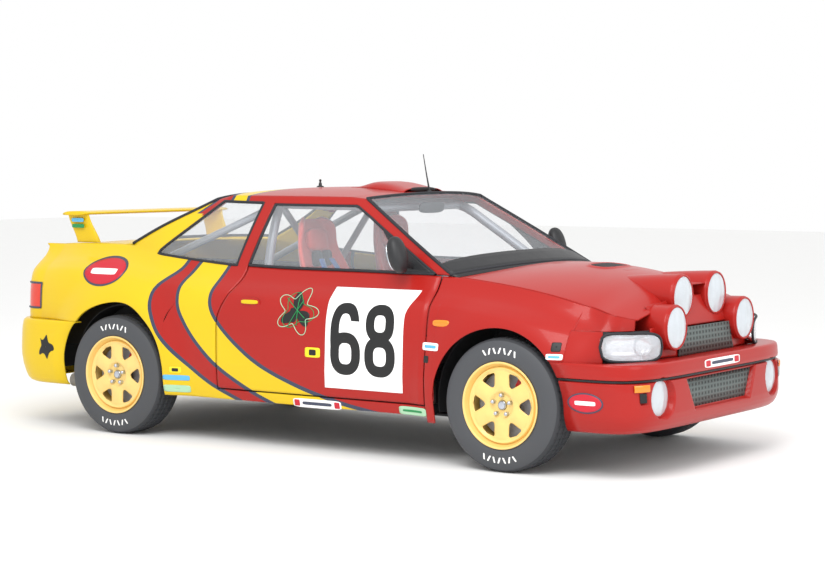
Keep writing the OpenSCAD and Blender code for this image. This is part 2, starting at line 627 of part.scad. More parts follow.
// A bucket seat on two rails
module bucket_seat(y) {
    translate([front_x - 1550, y, 0]) {
        difference() {
            intersection() {
                translate([0, 220, 0]) rotate([90, 0, 0]) linear_extrude(440)
                    polygon([[40, 300], [560, 330], [590, 470], [330, 480], [210, 620], [110, 980],
                        [60, 1200], [-70, 1200], [-60, 980], [0, 420]]);
                translate([-100, 0, 0]) rotate([90, 0, 90]) linear_extrude(800)
                    polygon([[-220, 290], [220, 290], [220, 880], [130, 990], [120, 1210],
                        [-120, 1210], [-130, 990], [-220, 880]]);
            }
            translate([0, 160, 0]) rotate([90, 0, 0]) linear_extrude(320)
                polygon([[620, 412], [240, 375], [130, 480], [15, 1000], [-30, 1250], [400, 1250], [700, 500]]);
        }
        both_sides() slab(90, 520, 140, 180, floor_z + 12.5, 312);
    }
}
module seats() {
    color("#b8504a") both_sides() bucket_seat(seat_y);
}

// Roll cage: main hoop with its diagonal, front legs and rear stays
hoop_x = front_x - 1685;
module roll_cage() {
    foot = floor_z + 12.5;
    leg_foot = [front_x - 500, 536, foot];
    leg_knee = [front_x - 500, 536, 880];
    knee = [hoop_x, 560, 900];
    top = [hoop_x, 445, roof_height - 90];
    front_top = [pillar_top_x - 60, 440, roof_height - 108];
    color(silver) {
        both_sides() {
            tube([hoop_x, 560, foot], knee, cage_d);
            tube(knee, top, cage_d);
            tube(top, front_top, cage_d);
            tube(front_top, leg_knee, cage_d);
            tube(leg_knee, leg_foot, cage_d);
            tube(top, [rear_x - 90, 577, 885], cage_d);
            for (joint = [knee, top, front_top, leg_knee]) translate(joint) sphere(d = cage_d + 3);
        }
        tube([hoop_x, -445, top[2]], top, cage_d);
        tube([front_top[0], -440, front_top[2]], front_top, cage_d);
        tube([hoop_x + 1, -560, 420], top, cage_d);
    }
}

module dashboard() {
    color(black) translate([0, 505, 0]) rotate([90, 0, 0]) linear_extrude(1010)
        polygon([[firewall_x - 0.5, 880], [firewall_x - 0.5, 640], [firewall_x - 130, 640],
            [firewall_x - 290, 760], [firewall_x - 300, 860], [firewall_x - 150, 885]]);
}
column_tilt = 66;
column_len = 183.8;
steering_at = [firewall_x - 470, seat_y, 850];
module on_column() {
    translate(steering_at) rotate([0, -column_tilt, 0]) children();
}
module steering_wheel() {
    color(black) on_column() {
        rotate_extrude($fn = 64) translate([steering_d / 2 - 14, 0]) circle(r = 14, $fn = 24);
        cylinder(d = 90, h = 14);
        for (a = [0, 120, 240]) rotate([0, 0, a]) translate([30, -14, 2])
            cube([steering_d / 2 - 14 - 32, 28, 5]);
        translate([0, 0, -column_len]) cylinder(d = 40, h = column_len + 1);
    }
}

module engine_block() {
    color(grey) {
        slab(front_x - 130, front_x + 330, -330, 330, 330, 720);
        slab(floor_front_x + 0.5, front_x - 129, -150, 150, 260, 520);
    }
}
module exhaust() {
    pipe_y = -300;
    pipe_z = 175;
    rear_z = 200;
    pipe_d = 70;
    color(silver) {
        translate([front_x + 20, 0, pipe_z]) cylinder(d = pipe_d, h = 329.5 - pipe_z);
        tube([front_x + 20, 0, pipe_z], [rear_x + 500, 0, pipe_z], pipe_d);
        tube([rear_x + 500, 0, pipe_z], [rear_x + 250, pipe_y, rear_z], pipe_d);
        tube([rear_x + 250, pipe_y, rear_z], [rear_x - 260, pipe_y, rear_z], pipe_d);
        for (bend = [[front_x + 20, 0, pipe_z], [rear_x + 500, 0, pipe_z], [rear_x + 250, pipe_y, rear_z]])
            translate(bend) sphere(d = pipe_d + 4);
        translate([rear_x - 250, pipe_y, rear_z]) rotate([0, -90, 0]) cylinder(d = 150, h = 380);
        translate([rear_x - 620, pipe_y, rear_z]) rotate([0, -90, 0]) cylinder(d = 80, h = 240);
        slab(rear_x - 420, rear_x - 390, pipe_y - 15, pipe_y + 15, rear_z + 60, 454.5);
    }
}
whip_x = rear_x + 770;
stub_x = pillar_top_x + 24;
module aerials() {
    color(black) {
        translate([whip_x, 0, roof_height + 1 - curve(crown, whip_x)]) {
            cylinder(d = 40, h = 8);
            cylinder(d = 10, h = 30);
            cylinder(d = 4, h = 676);
        }
        translate([stub_x, 0, roof_height + 2 - curve(crown, stub_x)]) {
            cylinder(d = 26, h = 12);
            rotate([0, -11, 0]) cylinder(d = 6, h = 210);
        }
    }
}

// ---- Wheels, hubs and axles ----
hub_in = 96;
module at_wheel(x, side) {
    translate([x, side * wheel_y, axle_z]) rotate([-90 * side, 0, 0]) children();
}
module tyre(x, side) {
    half = tyre_w / 2;
    color("#3a3c3e") at_wheel(x, side) rotate_extrude($fn = 128) polygon([
        [rim_d / 2 + 1, -half + 12], [rim_d / 2 + 22, -half + 2], [tyre_d / 2 - 50, -half],
        [tyre_d / 2 - 14, -half + 12], [tyre_d / 2, -half + 30], [tyre_d / 2, half - 30],
        [tyre_d / 2 - 14, half - 12], [tyre_d / 2 - 50, half], [rim_d / 2 + 22, half - 2], [rim_d / 2 + 1, half - 12]]);
}
module rim(x, side) {
    r = rim_d / 2;
    half = tyre_w / 2;
    color(gold) at_wheel(x, side) difference() {
        union() {
            rotate_extrude($fn = 128) polygon([[r + 0.5, -half + 11], [r + 0.5, half - 11],
                [r + 10, half - 6], [r + 10, half - 1], [r - 6, half - 1], [r - 12, half - 14], [r - 12, -half + 14], [r - 4, -half + 4], [r + 8, -half + 4]]);
            cylinder(d = 150, h = half - 30);
            for (a = [0:60:300]) rotate([0, 0, a + 30]) translate([50, -30, 44]) cube([r - 58, 60, 24]);
            translate([0, 0, -44]) cylinder(d = disc_d, h = 26);
            translate([0, 0, -44]) cylinder(d = 130, h = 60);
        }
        translate([0, 0, -200]) cylinder(d = axle_d + 2 * axle_play, h = 400);
        for (a = [0:72:288]) rotate([0, 0, a]) translate([stud_pcd / 2, 0, half - 44]) cylinder(d = 13, h = 60, $fn = 32);
    }
}
module rim_front_left() {
    rim(front_x, 1);
}
module rim_front_right() {
    rim(front_x, -1);
}
module rim_rear_left() {
    rim(rear_x, 1);
}
module rim_rear_right() {
    rim(rear_x, -1);
}
module tyre_front_left() {
    tyre(front_x, 1);
}
module tyre_front_right() {
    tyre(front_x, -1);
}
module tyre_rear_left() {
    tyre(rear_x, 1);
}
module tyre_rear_right() {
    tyre(rear_x, -1);
}
// Stub axle with its flange, from the middle of the car outwards
stub_out = wheel_y + tyre_w / 2 - 20;
module stub(x, inner_y) {
    translate([x, inner_y, axle_z]) rotate([-90, 0, 0]) cylinder(d = axle_d, h = stub_out - inner_y);
}
carrier_y = wheel_y - 44 - 6;
module knuckle(side) {
    color(grey) left_or_right(side) {
        stub(front_x, kingpin_y);
        translate([front_x - 35, kingpin_y, axle_z - 70]) cube([70, carrier_y - kingpin_y, 140]);
        translate([front_x, kingpin_y, axle_z - 70]) cylinder(d = 36, h = 140);
        translate([front_x - 150, kingpin_y - 18, axle_z - 70]) cube([150, 26, 22]);
    }
}
module knuckle_left() {
    knuckle(1);
}
module knuckle_right() {
    knuckle(-1);
}
module front_suspension() {
    color(black) both_sides() {
        translate([front_x, kingpin_y, axle_z + 70.5]) cylinder(d = 36, h = 699.5 - axle_z - 70.5);
        translate([front_x, kingpin_y, axle_z - 96]) cylinder(d = 36, h = 25.5);
        slab(front_x - 24, front_x + 24, 385, kingpin_y, axle_z - 96, axle_z - 76);
        slab(front_x - 200, front_x + 24, 385, 425, axle_z - 96, axle_z - 56);
        slab(front_x - 200, front_x - 140, 385, 425, axle_z - 57, 399.5);
    }
}
module rear_axle() {
    color(black) {
        both_sides() {
            stub(rear_x, 560);
            slab(rear_x - 40, rear_x + 40, 560, carrier_y, axle_z - 60, axle_z + 60);
            slab(rear_x - 30, rear_x + 394.5, 560, 600, axle_z - 30, axle_z + 30);
        }
        slab(rear_x - 40, rear_x + 40, -561, 561, axle_z - 40, axle_z + 10);
        slab(rear_x - 20, rear_x + 20, -20, 20, axle_z + 9, 454.5);
    }
}

floor_pan();
front_frame();
rear_frame();
body_side_left();
body_side_right();
front_wing_left();
front_wing_right();
front_bumper();
rear_bumper();
roof();
roof_scoop();
cowl_panel();
windscreen();
rear_window();
quarter_windows();
front_lamps();
tail_lamps();
grilles();
bonnet();
lamp_pods();
boot_lid();
rear_wing();
door_left();
door_right();
door_glass_left();
door_glass_right();
seats();
roll_cage();
dashboard();
steering_wheel();
engine_block();
exhaust();
aerials();
front_suspension();
rear_axle();
knuckle_left();
knuckle_right();
rim_front_left();
rim_front_right();
rim_rear_left();
rim_rear_right();
tyre_front_left();
tyre_front_right();
tyre_rear_left();
tyre_rear_right();
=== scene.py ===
# %% [markdown]
# # A two-door rally car
# The car is thin painted sheet over a frame, with glass, lamps, rubber and a bare cabin inside. Every
# outer panel here is one curved surface worked out with numpy. The other way would be to push a box
# mesh by hand, but a formula keeps the panels in line with each other wherever they meet.
# %% Load the frame
import math
import bpy
import numpy as np
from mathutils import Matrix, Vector


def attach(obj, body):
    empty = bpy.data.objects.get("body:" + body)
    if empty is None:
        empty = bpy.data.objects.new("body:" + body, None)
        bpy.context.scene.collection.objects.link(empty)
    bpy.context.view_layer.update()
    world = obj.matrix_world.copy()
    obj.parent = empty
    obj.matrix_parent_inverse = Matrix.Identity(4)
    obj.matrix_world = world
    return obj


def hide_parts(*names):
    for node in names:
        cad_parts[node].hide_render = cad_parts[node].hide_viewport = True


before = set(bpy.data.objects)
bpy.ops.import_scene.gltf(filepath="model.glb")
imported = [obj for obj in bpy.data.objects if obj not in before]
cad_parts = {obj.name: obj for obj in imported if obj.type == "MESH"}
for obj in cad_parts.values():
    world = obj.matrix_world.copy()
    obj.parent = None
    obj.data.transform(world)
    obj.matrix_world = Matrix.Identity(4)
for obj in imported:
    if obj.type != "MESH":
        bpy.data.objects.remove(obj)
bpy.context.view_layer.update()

# %% [markdown]
# ## Main sizes
# A maker lays out a car from its axles. The same stations are used here, in millimetres as on a
# drawing, and each mesh is turned to metres when it is made.
# %% Stations
front_x, rear_x = 1325.0, -1195.0
nose_x, tail_x = 2095.0, -2095.0
half_width, roof_height, belt = 850.0, 1370.0, 936.0
axle_z, wheel_y, arch_r = 330.0, 778.0, 372.0
door_front_x, door_rear_x = front_x - 455, rear_x + 702
hinge_x, pillar_top_x = door_front_x - 60, front_x - 1030
shut_gap, bumper_top, front_bumper_top = 9.0, 611.0, 560.6
roof_edge_z, tail_lamp_x, boot_half = roof_height - 46, rear_x - 640, 592.0
arches = ((front_x - 23, axle_z + 5), (rear_x - 20, axle_z + 33))
FRONT_POWER, REAR_POWER = 5.5, 4.6     # how square the bumpers' corners are in plan
LABEL_POWER = 0.3                      # how square a label's corners are
head_lamp_z, seat_y = 630, 350
handle_x, sail_x = -262, 600

# %% [markdown]
# ## Curves
# A body line is a few known points joined by an even bend, as a draughtsman bends a batten round
# pins. A cubic through the points does this, with the slope at each pin taken from its neighbours.
# %% Curve helpers
def curve(pins, x):
    """Cubic through (place, value) pins: on each span the two end values and slopes are blended."""
    p = np.asarray(pins, float)
    x = np.asarray(x, float)
    last = len(p) - 1
    ahead, back = np.minimum(np.arange(len(p)) + 1, last), np.maximum(np.arange(len(p)) - 1, 0)
    slopes = (p[ahead, 1] - p[back, 1]) / (p[ahead, 0] - p[back, 0])
    i = np.clip(np.searchsorted(p[:, 0], x, side="right") - 1, 0, last - 1)
    h = p[i + 1, 0] - p[i, 0]
    t = np.clip((x - p[i, 0]) / h, 0, 1)
    return ((2 * t**3 - 3 * t**2 + 1) * p[i, 1] + (t**3 - 2 * t**2 + t) * slopes[i] * h
            + (3 * t**2 - 2 * t**3) * p[i + 1, 1] + (t**3 - t**2) * slopes[i + 1] * h)


def mix(a, b, t):
    """Straight blend: a at t = 0, b at t = 1."""
    return a + (b - a) * t


def smooth(t):
    """Soft step: 3 t squared minus 2 t cubed, held between 0 and 1."""
    t = np.clip(t, 0, 1)
    return t * t * (3 - 2 * t)


def oval(angle, power):
    """Superellipse quarter: cosine and sine of the angle in degrees, each to the power 2 / n."""
    a = np.radians(angle)
    return np.maximum(np.cos(a), 0) ** (2 / power), np.maximum(np.sin(a), 0) ** (2 / power)


def steps(values, per):
    """Places between whole numbers: each span of the list is cut in a number of equal steps."""
    coarse = np.arange(len(values))
    fine = np.linspace(0, len(values) - 1, (len(values) - 1) * per + 1)
    return np.interp(fine, coarse, values)


# %% [markdown]
# ## From a grid to a mesh
# A pressed panel is one sheet with an even thickness. A grid of points gives the sheet, a mask leaves
# out cells where there is a window or an opening, and Solidify adds the thickness inwards. Building
# both skins by hand would give the same result with twice the code.
# %% Mesh makers
MM = 0.001


def faces_of_grid(n, m, keep=None, wrap=False):
    """Corners of each cell (i, j) of an n by m grid, the last row joined to the first if wrapped."""
    i, j = np.meshgrid(np.arange(n if wrap else n - 1), np.arange(m - 1), indexing="ij")
    a, b = i * m + j, ((i + 1) % n) * m + j
    cells = np.stack([a, b, b + 1, a + 1], -1)
    return cells[keep] if keep is not None else cells.reshape(-1, 4)


def new_piece(name, points, faces, material, body, centre=None):
    """Mesh from points in mm and faces. With a centre, all faces are turned to look away from it."""
    points = np.asarray(points, float).reshape(-1, 3) * MM
    faces = np.asarray(faces)
    used, flat = np.unique(faces, return_inverse=True)
    points, faces = points[used], flat.reshape(faces.shape)
    if centre is not None:
        corner = points[faces]
        normal = np.cross(corner[:, 2] - corner[:, 0], corner[:, 3] - corner[:, 1])
        if (normal * (corner.mean(1) - np.asarray(centre) * MM)).sum() < 0:
            faces = faces[:, ::-1]
    mesh = bpy.data.meshes.new(name)
    mesh.from_pydata(points.tolist(), [], faces.tolist())
    mesh.polygons.foreach_set("use_smooth", np.full(len(faces), True))
    mesh.materials.append(material)
    piece = bpy.data.objects.new(name, mesh)
    bpy.context.scene.collection.objects.link(piece)
    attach(piece, body)
    return piece


def thicken(piece, wall, offset=-1.0):
    """Solidify by a wall in mm: inwards at offset -1, half to each side at 0."""
    m = piece.modifiers.new("wall", "SOLIDIFY")
    m.thickness, m.offset, m.use_even_offset = wall * MM, offset, False
    return piece


def soften(piece, width, segments=2):
    """Round every edge sharper than 35 degrees by a width in mm."""
    b = piece.modifiers.new("round", "BEVEL")
    b.width, b.segments, b.limit_method, b.angle_limit = width * MM, segments, "ANGLE", math.radians(35)
    b.harden_normals = False
    return piece


def sheet(name, grid, material, body, centre, keep=None, wall=0.0, wrap=False):
    """One panel from a grid of points (n, m, 3) in mm."""
    n, m = grid.shape[:2]
    piece = new_piece(name, grid, faces_of_grid(n, m, keep, wrap), material, body, centre)
    if wall:
        thicken(piece, wall)
    return piece


def flipped(grid):
    """The same grid on the other side of the car."""
    return grid * np.array([1.0, -1.0, 1.0])


def mirrored(grid, sign):
    """The grid itself for the left side, sign 1, or the same grid on the right side, sign -1."""
    return grid if sign > 0 else flipped(grid)


def join(x, y, z):
    """One grid of points from three arrays, each stretched to the shape they share."""
    return np.stack(np.broadcast_arrays(x, y, z), -1)


def round_angles(count):
    """Equal angles round a full turn, in radians, the last one short of the first."""
    return np.radians(np.linspace(0, 360, count, endpoint=False))


def squared(wave, power):
    """A sine or cosine raised to a power with its sign kept: below 1 it squares a circle's corners."""
    return np.sign(wave) * np.abs(wave) ** power


SIDES = (("left", 1), ("right", -1))


def tube(name, path, radius, material, body, around=16, closed=False, per=6):
    """Round tube: a circle carried along a smooth line through the points, its ends closed to a point."""
    p = np.asarray(path, float)
    if per > 1:
        k = np.arange(len(p) + (1 if closed else 0))
        q = np.vstack([p, p[:1]]) if closed else p
        fine = np.linspace(0, k[-1], (len(k) - 1) * per + 1)
        p = np.stack([curve(np.stack([k, q[:, a]], 1), fine) for a in range(3)], 1)
        p = p[:-1] if closed else p
    along = np.roll(p, -1, 0) - np.roll(p, 1, 0) if closed else np.gradient(p, axis=0)
    along /= np.linalg.norm(along, axis=1, keepdims=True) + 1e-12
    spread = np.abs(along).sum(0)
    ref = np.eye(3)[np.argmin(spread)]
    side = np.cross(along, ref)
    side /= np.linalg.norm(side, axis=1, keepdims=True) + 1e-12
    up = np.cross(side, along)
    r = np.broadcast_to(np.asarray(radius, float), (len(p),)).copy()
    if not closed:
        p = np.vstack([p[:1], p, p[-1:]])
        side, up = np.vstack([side[:1], side, side[-1:]]), np.vstack([up[:1], up, up[-1:]])
        r = np.concatenate([[0.02], r, [0.02]])
    a = np.linspace(0, 2 * np.pi, around, endpoint=False)[:, None, None]
    ring = p[None] + r[None, :, None] * (np.cos(a) * side[None] + np.sin(a) * up[None])
    n, m = ring.shape[:2]
    grid = ring
    if closed:
        grid = np.concatenate([ring, ring[:, :1]], 1)
        m += 1
    piece = new_piece(name, grid, faces_of_grid(n, m, wrap=True), material, body)
    turn_out(piece)
    return piece


def turn_out(piece):
    """Merge doubled points, then have all normals of a closed form point outwards."""
    import bmesh
    b = bmesh.new()
    b.from_mesh(piece.data)
    bmesh.ops.remove_doubles(b, verts=b.verts, dist=2e-6)
    bmesh.ops.recalc_face_normals(b, faces=b.faces)
    b.to_mesh(piece.data)
    b.free()


def cushion(name, centre, half, power, material, body, turn=0.0, n=40):
    """Superellipsoid: all its sections are superellipses of the given power. Turned about y by degrees."""
    u = np.linspace(-90, 90, n)[:, None]
    v = np.linspace(0, 360, 2 * n, endpoint=False)[None]
    cu, su = np.cos(np.radians(u)), np.sin(np.radians(u))
    cv, sv = np.cos(np.radians(v)), np.sin(np.radians(v))
    raised = lambda w: np.sign(w) * np.abs(w) ** (2 / power)
    grid = join(raised(cu) * raised(cv) * half[0], raised(cu) * raised(sv) * half[1],
                                        raised(su) * half[2] + 0 * v)
    t = math.radians(turn)
    x, z = grid[..., 0] * math.cos(t) + grid[..., 2] * math.sin(t), grid[..., 2] * math.cos(t) - grid[...,
            0] * math.sin(t)
    grid = np.stack([x, grid[..., 1], z], -1) + np.asarray(centre, float)
    grid = np.swapaxes(grid, 0, 1)
    piece = new_piece(name, grid, faces_of_grid(grid.shape[0], grid.shape[1], wrap=True), material, body)
    turn_out(piece)
    return piece


def turned(name, profile, centre, axis, material, body, around=96, per=1):
    """Lathe work: a profile of (along, radius) pairs turned round an axis through the centre."""
    q = np.asarray(profile, float)
    if per > 1:
        q = np.stack([steps(q[:, 0], per), steps(q[:, 1], per)], 1)
    axis = np.asarray(axis, float) / np.linalg.norm(axis)
    ref = np.array([0.0, 0.0, 1.0]) if abs(axis[2]) < 0.9 else np.array([1.0, 0.0, 0.0])
    side = np.cross(axis, ref)
    side /= np.linalg.norm(side)
    up = np.cross(side, axis)
    a = np.linspace(0, 2 * np.pi, around, endpoint=False)[:, None, None]
    grid = (np.asarray(centre, float) + q[None, :, 0:1] * axis
            + np.maximum(q[None, :, 1:2], 0.02) * (np.cos(a) * side + np.sin(a) * up))
    piece = new_piece(name, grid, faces_of_grid(around, len(q), wrap=True), material, body)
    turn_out(piece)
    return piece


print("makers ready")

# %% [markdown]
# ## Paints, plastics, rubber and cloth
# Each finish is a shader with the values of the real one. Colours are the hex values that a paint
# card gives, turned to linear light. Small changes of tone and gloss come from noise measured in
# millimetres on the car itself, since a perfectly even colour looks like a toy.
# %% Material helpers
def linear(colour):
    """sRGB hex to linear light: a channel up to 0.04045 is divided by 12.92, a brighter one raised to 2.4."""
    c = np.array([int(colour[i:i + 2], 16) for i in (1, 3, 5)]) / 255
    return (*np.where(c <= 0.04045, c / 12.92, ((c + 0.055) / 1.055) ** 2.4).tolist(), 1.0)


def add(tree, kind, settings=(), links=(), values=()):
    """Adds a node, sets its properties and input values, and links outputs of other nodes to its inputs."""
    node = tree.nodes.new(kind)
    for key, value in dict(settings).items():
        setattr(node, key, value)
    for key, value in dict(values).items():
        node.inputs[key].default_value = value
    for key, output in dict(links).items():
        tree.links.new(output, node.inputs[key])
    return node


def finish_of(name, **values):
    """A material with one principled shader, its values given by socket name."""
    m = bpy.data.materials.new(name)
    m.use_nodes = True
    shader = m.node_tree.nodes["Principled BSDF"]
    for key, value in values.items():
        shader.inputs[key.replace("_", " ")].default_value = value
    return m, m.node_tree, shader


def mottle(tree, shader, colour, spread, size_mm, rough=(0.3, 0.4), bump=0.0, bump_mm=1.0):
    """Noise on the car's own coordinates varies the tone, the roughness and, if asked, the height."""
    place = add(tree, "ShaderNodeTexCoord")
    noise = add(tree, "ShaderNodeTexNoise", links={"Vector": place.outputs["Object"]},
                values={"Scale": 1000 / size_mm, "Detail": 4.0, "Roughness": 0.6})
    tone = add(tree, "ShaderNodeMapRange", links={"Value": noise.outputs["Fac"]},
               values={"To Min": 1 - spread, "To Max": 1 + spread})
    if isinstance(colour, str):
        shade = add(tree, "ShaderNodeHueSaturation", links={"Value": tone.outputs["Result"]},
                    values={"Color": linear(colour)})
    else:
        shade = add(tree, "ShaderNodeHueSaturation",
                    links={"Value": tone.outputs["Result"], "Color": colour})
    tree.links.new(shade.outputs["Color"], shader.inputs["Base Color"])
    gloss = add(tree, "ShaderNodeMapRange", links={"Value": noise.outputs["Fac"]},
                values={"To Min": rough[0], "To Max": rough[1]})
    tree.links.new(gloss.outputs["Result"], shader.inputs["Roughness"])
    if bump:
        fine = add(tree, "ShaderNodeTexNoise", links={"Vector": place.outputs["Object"]},
                   values={"Scale": 1000 / bump_mm, "Detail": 3.0})
        relief = add(tree, "ShaderNodeBump", links={"Height": fine.outputs["Fac"]},
                     values={"Strength": bump, "Distance": 0.001})
        tree.links.new(relief.outputs["Normal"], shader.inputs["Normal"])
    return place


# %% [markdown]
# ## The two-colour enamel
# The car is yellow behind and red in front. A red and a yellow band sweep down the side, each with a
# slate-blue edge line 22 mm wide. The border is stored on the mesh as a signed distance named
# livery: red where it is above zero, yellow below, slate near zero. Baking a picture would blur it.
# %% Enamel with bands
RED, YELLOW, SLATE = "#A61E18", "#E0BD18", "#3D4358"
EDGE_LINE = 0.011    # half the slate line's width, in metres as stored on the mesh
band_rear = [(200, -270), (229, -321), (318, -529), (426, -704), (560, -861), (672, -925), (754, -946),
             (820, -930),
             (922, -821), (966, -792), (1010, -765)]
band_front = [(200, 0), (224, -85), (292, -253), (412, -479), (539, -632), (664, -730), (744, -765),
              (842, -764),
              (936, -721), (991, -685), (1010, -670)]
nose_line = [(200, 735), (225, 593), (269, 341), (335, 82), (430, -171), (537, -347), (659, -484),
             (754, -539),
             (872, -531), (953, -503), (1010, -490)]


def across(line, x, z):
    """Distance ahead of a line: how far x lies in front of it, divided by the slant of the line there."""
    slant = (curve(line, z + 5) - curve(line, z - 5)) / 10
    return (x - curve(line, z)) / np.sqrt(1 + slant**2)


def livery_at(p):
    """The larger of: ahead of the nose line; between the rear band's edges. Roof lines run across."""
    x, y, z = p[..., 0], np.abs(p[..., 1]), p[..., 2]
    low = np.maximum(np.minimum(across(band_rear, x, z), -across(band_front, x, z)),
                     across(nose_line, x, z))
    t = np.clip(550 - y, 0, 550)
    slip = 0.42 * t + 0.5 * np.clip(1322 - z, 0, 200)
    high = np.maximum(x + 497, np.minimum(x + 690 + slip + 0.9 * np.clip(1322 - z, 0, 200),
                                          -(x + 600 + slip)))
    high = np.where(z < 1215, np.minimum(high, x + 497), high)
    return np.where((z > 1003) | ((x > -560) & (z > 960)), high, low)


def add_livery(piece):
    """Stores the signed distance, in metres, on each point of the piece."""
    co = np.empty(len(piece.data.vertices) * 3, np.float32)
    piece.data.vertices.foreach_get("co", co)
    value = livery_at(co.reshape(-1, 3) / MM) * MM
    piece.data.attributes.new("livery", "FLOAT", "POINT").data.foreach_set("value",
            value.astype(np.float32))


def enamel(name, kind):
    """Gloss enamel: red, yellow, or bands, where the attribute chooses red, slate or yellow."""
    m, tree, shader = finish_of(name, IOR=1.5, Coat_Weight=0.2, Coat_Roughness=0.08,
                                Specular_IOR_Level=0.22)
    if kind == "bands":
        border = add(tree, "ShaderNodeAttribute", {"attribute_name": "livery"})
        red = add(tree, "ShaderNodeMath", {"operation": "GREATER_THAN"}, {0: border.outputs["Fac"]},
                  {1: 0.0})
        paint = add(tree, "ShaderNodeMix", {"data_type": "RGBA"}, {"Factor": red.outputs[0]},
                    {6: linear(YELLOW), 7: linear(RED)})
        size = add(tree, "ShaderNodeMath", {"operation": "ABSOLUTE"}, {0: border.outputs["Fac"]})
        near = add(tree, "ShaderNodeMath", {"operation": "LESS_THAN"}, {0: size.outputs[0]}, {1: EDGE_LINE})
        both = add(tree, "ShaderNodeMix", {"data_type": "RGBA"},
                   {"Factor": near.outputs[0], 6: paint.outputs[2]},
                   {7: linear(SLATE)})
        mottle(tree, shader, both.outputs[2], 0.05, 420, (0.30, 0.40))
    else:
        mottle(tree, shader, {"red": RED, "yellow": YELLOW}[kind], 0.05, 420, (0.30, 0.40))
    return m


enamel_bands = enamel("gloss_enamel_bands", "bands")
enamel_red = enamel("gloss_enamel_red", "red")
enamel_yellow = enamel("gloss_enamel_yellow", "yellow")
print("enamels:", enamel_bands.name, enamel_red.name, enamel_yellow.name)

# %% [markdown]
# Black trim is moulded plastic and sealing rubber. Both are dark and matt, the plastic with a fine
# grain that breaks up the shine, the rubber almost without any.
# %% Plastics and rubber
def plain(name, colour, spread, size_mm, rough, bump=0.0, bump_mm=1.0, **values):
    """A material of one mottled colour."""
    m, tree, shader = finish_of(name, **values)
    mottle(tree, shader, colour, spread, size_mm, rough, bump, bump_mm)
    return m


black_plastic = plain("grained_black_abs", "#1B1C1F", 0.12, 60, (0.42, 0.58), 0.25, 1.2, IOR=1.53)
seal_rubber = plain("window_seal_rubber", "#202228", 0.1, 30, (0.6, 0.75), IOR=1.52)
tread_rubber = plain("tread_rubber", "#37393D", 0.1, 40, (0.72, 0.88), 0.3, 2.0, IOR=1.52)
dark_paint = plain("matt_underbody_paint", "#16171A", 0.15, 80, (0.6, 0.8), 0.3, 3.0, IOR=1.5)
cage_paint = plain("silver_grey_tube_enamel", "#9FA3AB", 0.06, 90, (0.3, 0.42), IOR=1.5, Metallic=0.25)
gold_paint = plain("gold_wheel_enamel", "#F0CB78", 0.06, 70, (0.34, 0.46), 0.08, 0.8, IOR=1.5,
                   Coat_Weight=0.3)
disc_steel = plain("machined_disc_iron", "#B9BEC9", 0.1, 25, (0.4, 0.55), IOR=1.5, Metallic=0.3)
nut_steel = plain("zinc_plated_steel", "#C3C8D2", 0.05, 20, (0.25, 0.35), Metallic=1.0)
exhaust_steel = plain("brushed_exhaust_steel", "#8E8A84", 0.12, 40, (0.35, 0.5), Metallic=1.0)
caliper_red = plain("caliper_enamel", "#C3201C", 0.06, 30, (0.35, 0.45), IOR=1.5)
orange_lens = plain("moulded_orange_acrylic", "#E9850E", 0.08, 18, (0.12, 0.2), IOR=1.49, Coat_Weight=0.5)
red_lens = plain("moulded_red_acrylic", "#D8341B", 0.1, 18, (0.12, 0.2), IOR=1.49, Coat_Weight=0.5)
decal_white = plain("white_vinyl", "#FDFDFC", 0.015, 120, (0.42, 0.5), IOR=1.5)
decal_red = plain("crimson_vinyl", "#C4122B", 0.04, 60, (0.4, 0.5), IOR=1.5)
decal_black = plain("black_vinyl", "#101112", 0.05, 60, (0.4, 0.5), IOR=1.5)
decal_blue = plain("light_blue_vinyl", "#5FB4E6", 0.03, 60, (0.4, 0.5), IOR=1.5)
decal_green = plain("pale_green_vinyl", "#A9D3AF", 0.03, 60, (0.4, 0.5), IOR=1.5)
decal_dark_green = plain("dark_green_vinyl", "#1E8A4C", 0.05, 60, (0.4, 0.5), IOR=1.5)
decal_yellow = plain("yellow_vinyl", "#F3DC1E", 0.03, 60, (0.4, 0.5), IOR=1.5)
decal_slate = plain("slate_vinyl", SLATE, 0.05, 60, (0.4, 0.5), IOR=1.5)
gauge_face = plain("instrument_panel_leatherette", "#202126", 0.15, 8, (0.6, 0.75), 0.5, 1.5, IOR=1.5)
print("plain finishes:", len(bpy.data.materials))

# %% [markdown]
# The door numbers and the tyre sidewalls carry marks in two tones. On rubber they are raised and
# painted white. A distance stored on the mesh tells the shader where the paint lies, as with the bands.
# %% Two-tone finish from a stored distance
def printed(name, ground, ink, attribute, rough=(0.6, 0.75), **values):
    """Ground colour where the attribute is above zero, ink where it is below."""
    m, tree, shader = finish_of(name, **values)
    mark = add(tree, "ShaderNodeAttribute", {"attribute_name": attribute})
    inside = add(tree, "ShaderNodeMath", {"operation": "LESS_THAN"}, {0: mark.outputs["Fac"]}, {1: 0.0})
    colour = add(tree, "ShaderNodeMix", {"data_type": "RGBA"}, {"Factor": inside.outputs[0]},
                 {6: linear(ground), 7: linear(ink)})
    mottle(tree, shader, colour.outputs[2], 0.06, 40, rough)
    return m


def store(piece, attribute, value):
    """Puts one number in metres on each point."""
    piece.data.attributes.new(attribute, "FLOAT", "POINT").data.foreach_set("value",
            np.asarray(value, np.float32).ravel())


sidewall_rubber = printed("sidewall_rubber_with_raised_marks", "#45474B", "#F4F4F2", "mark", (0.55, 0.7),
                          IOR=1.52)
number_vinyl = printed("door_number_vinyl", "#FFFFFF", "#0F1012", "ink", (0.4, 0.5), IOR=1.5)

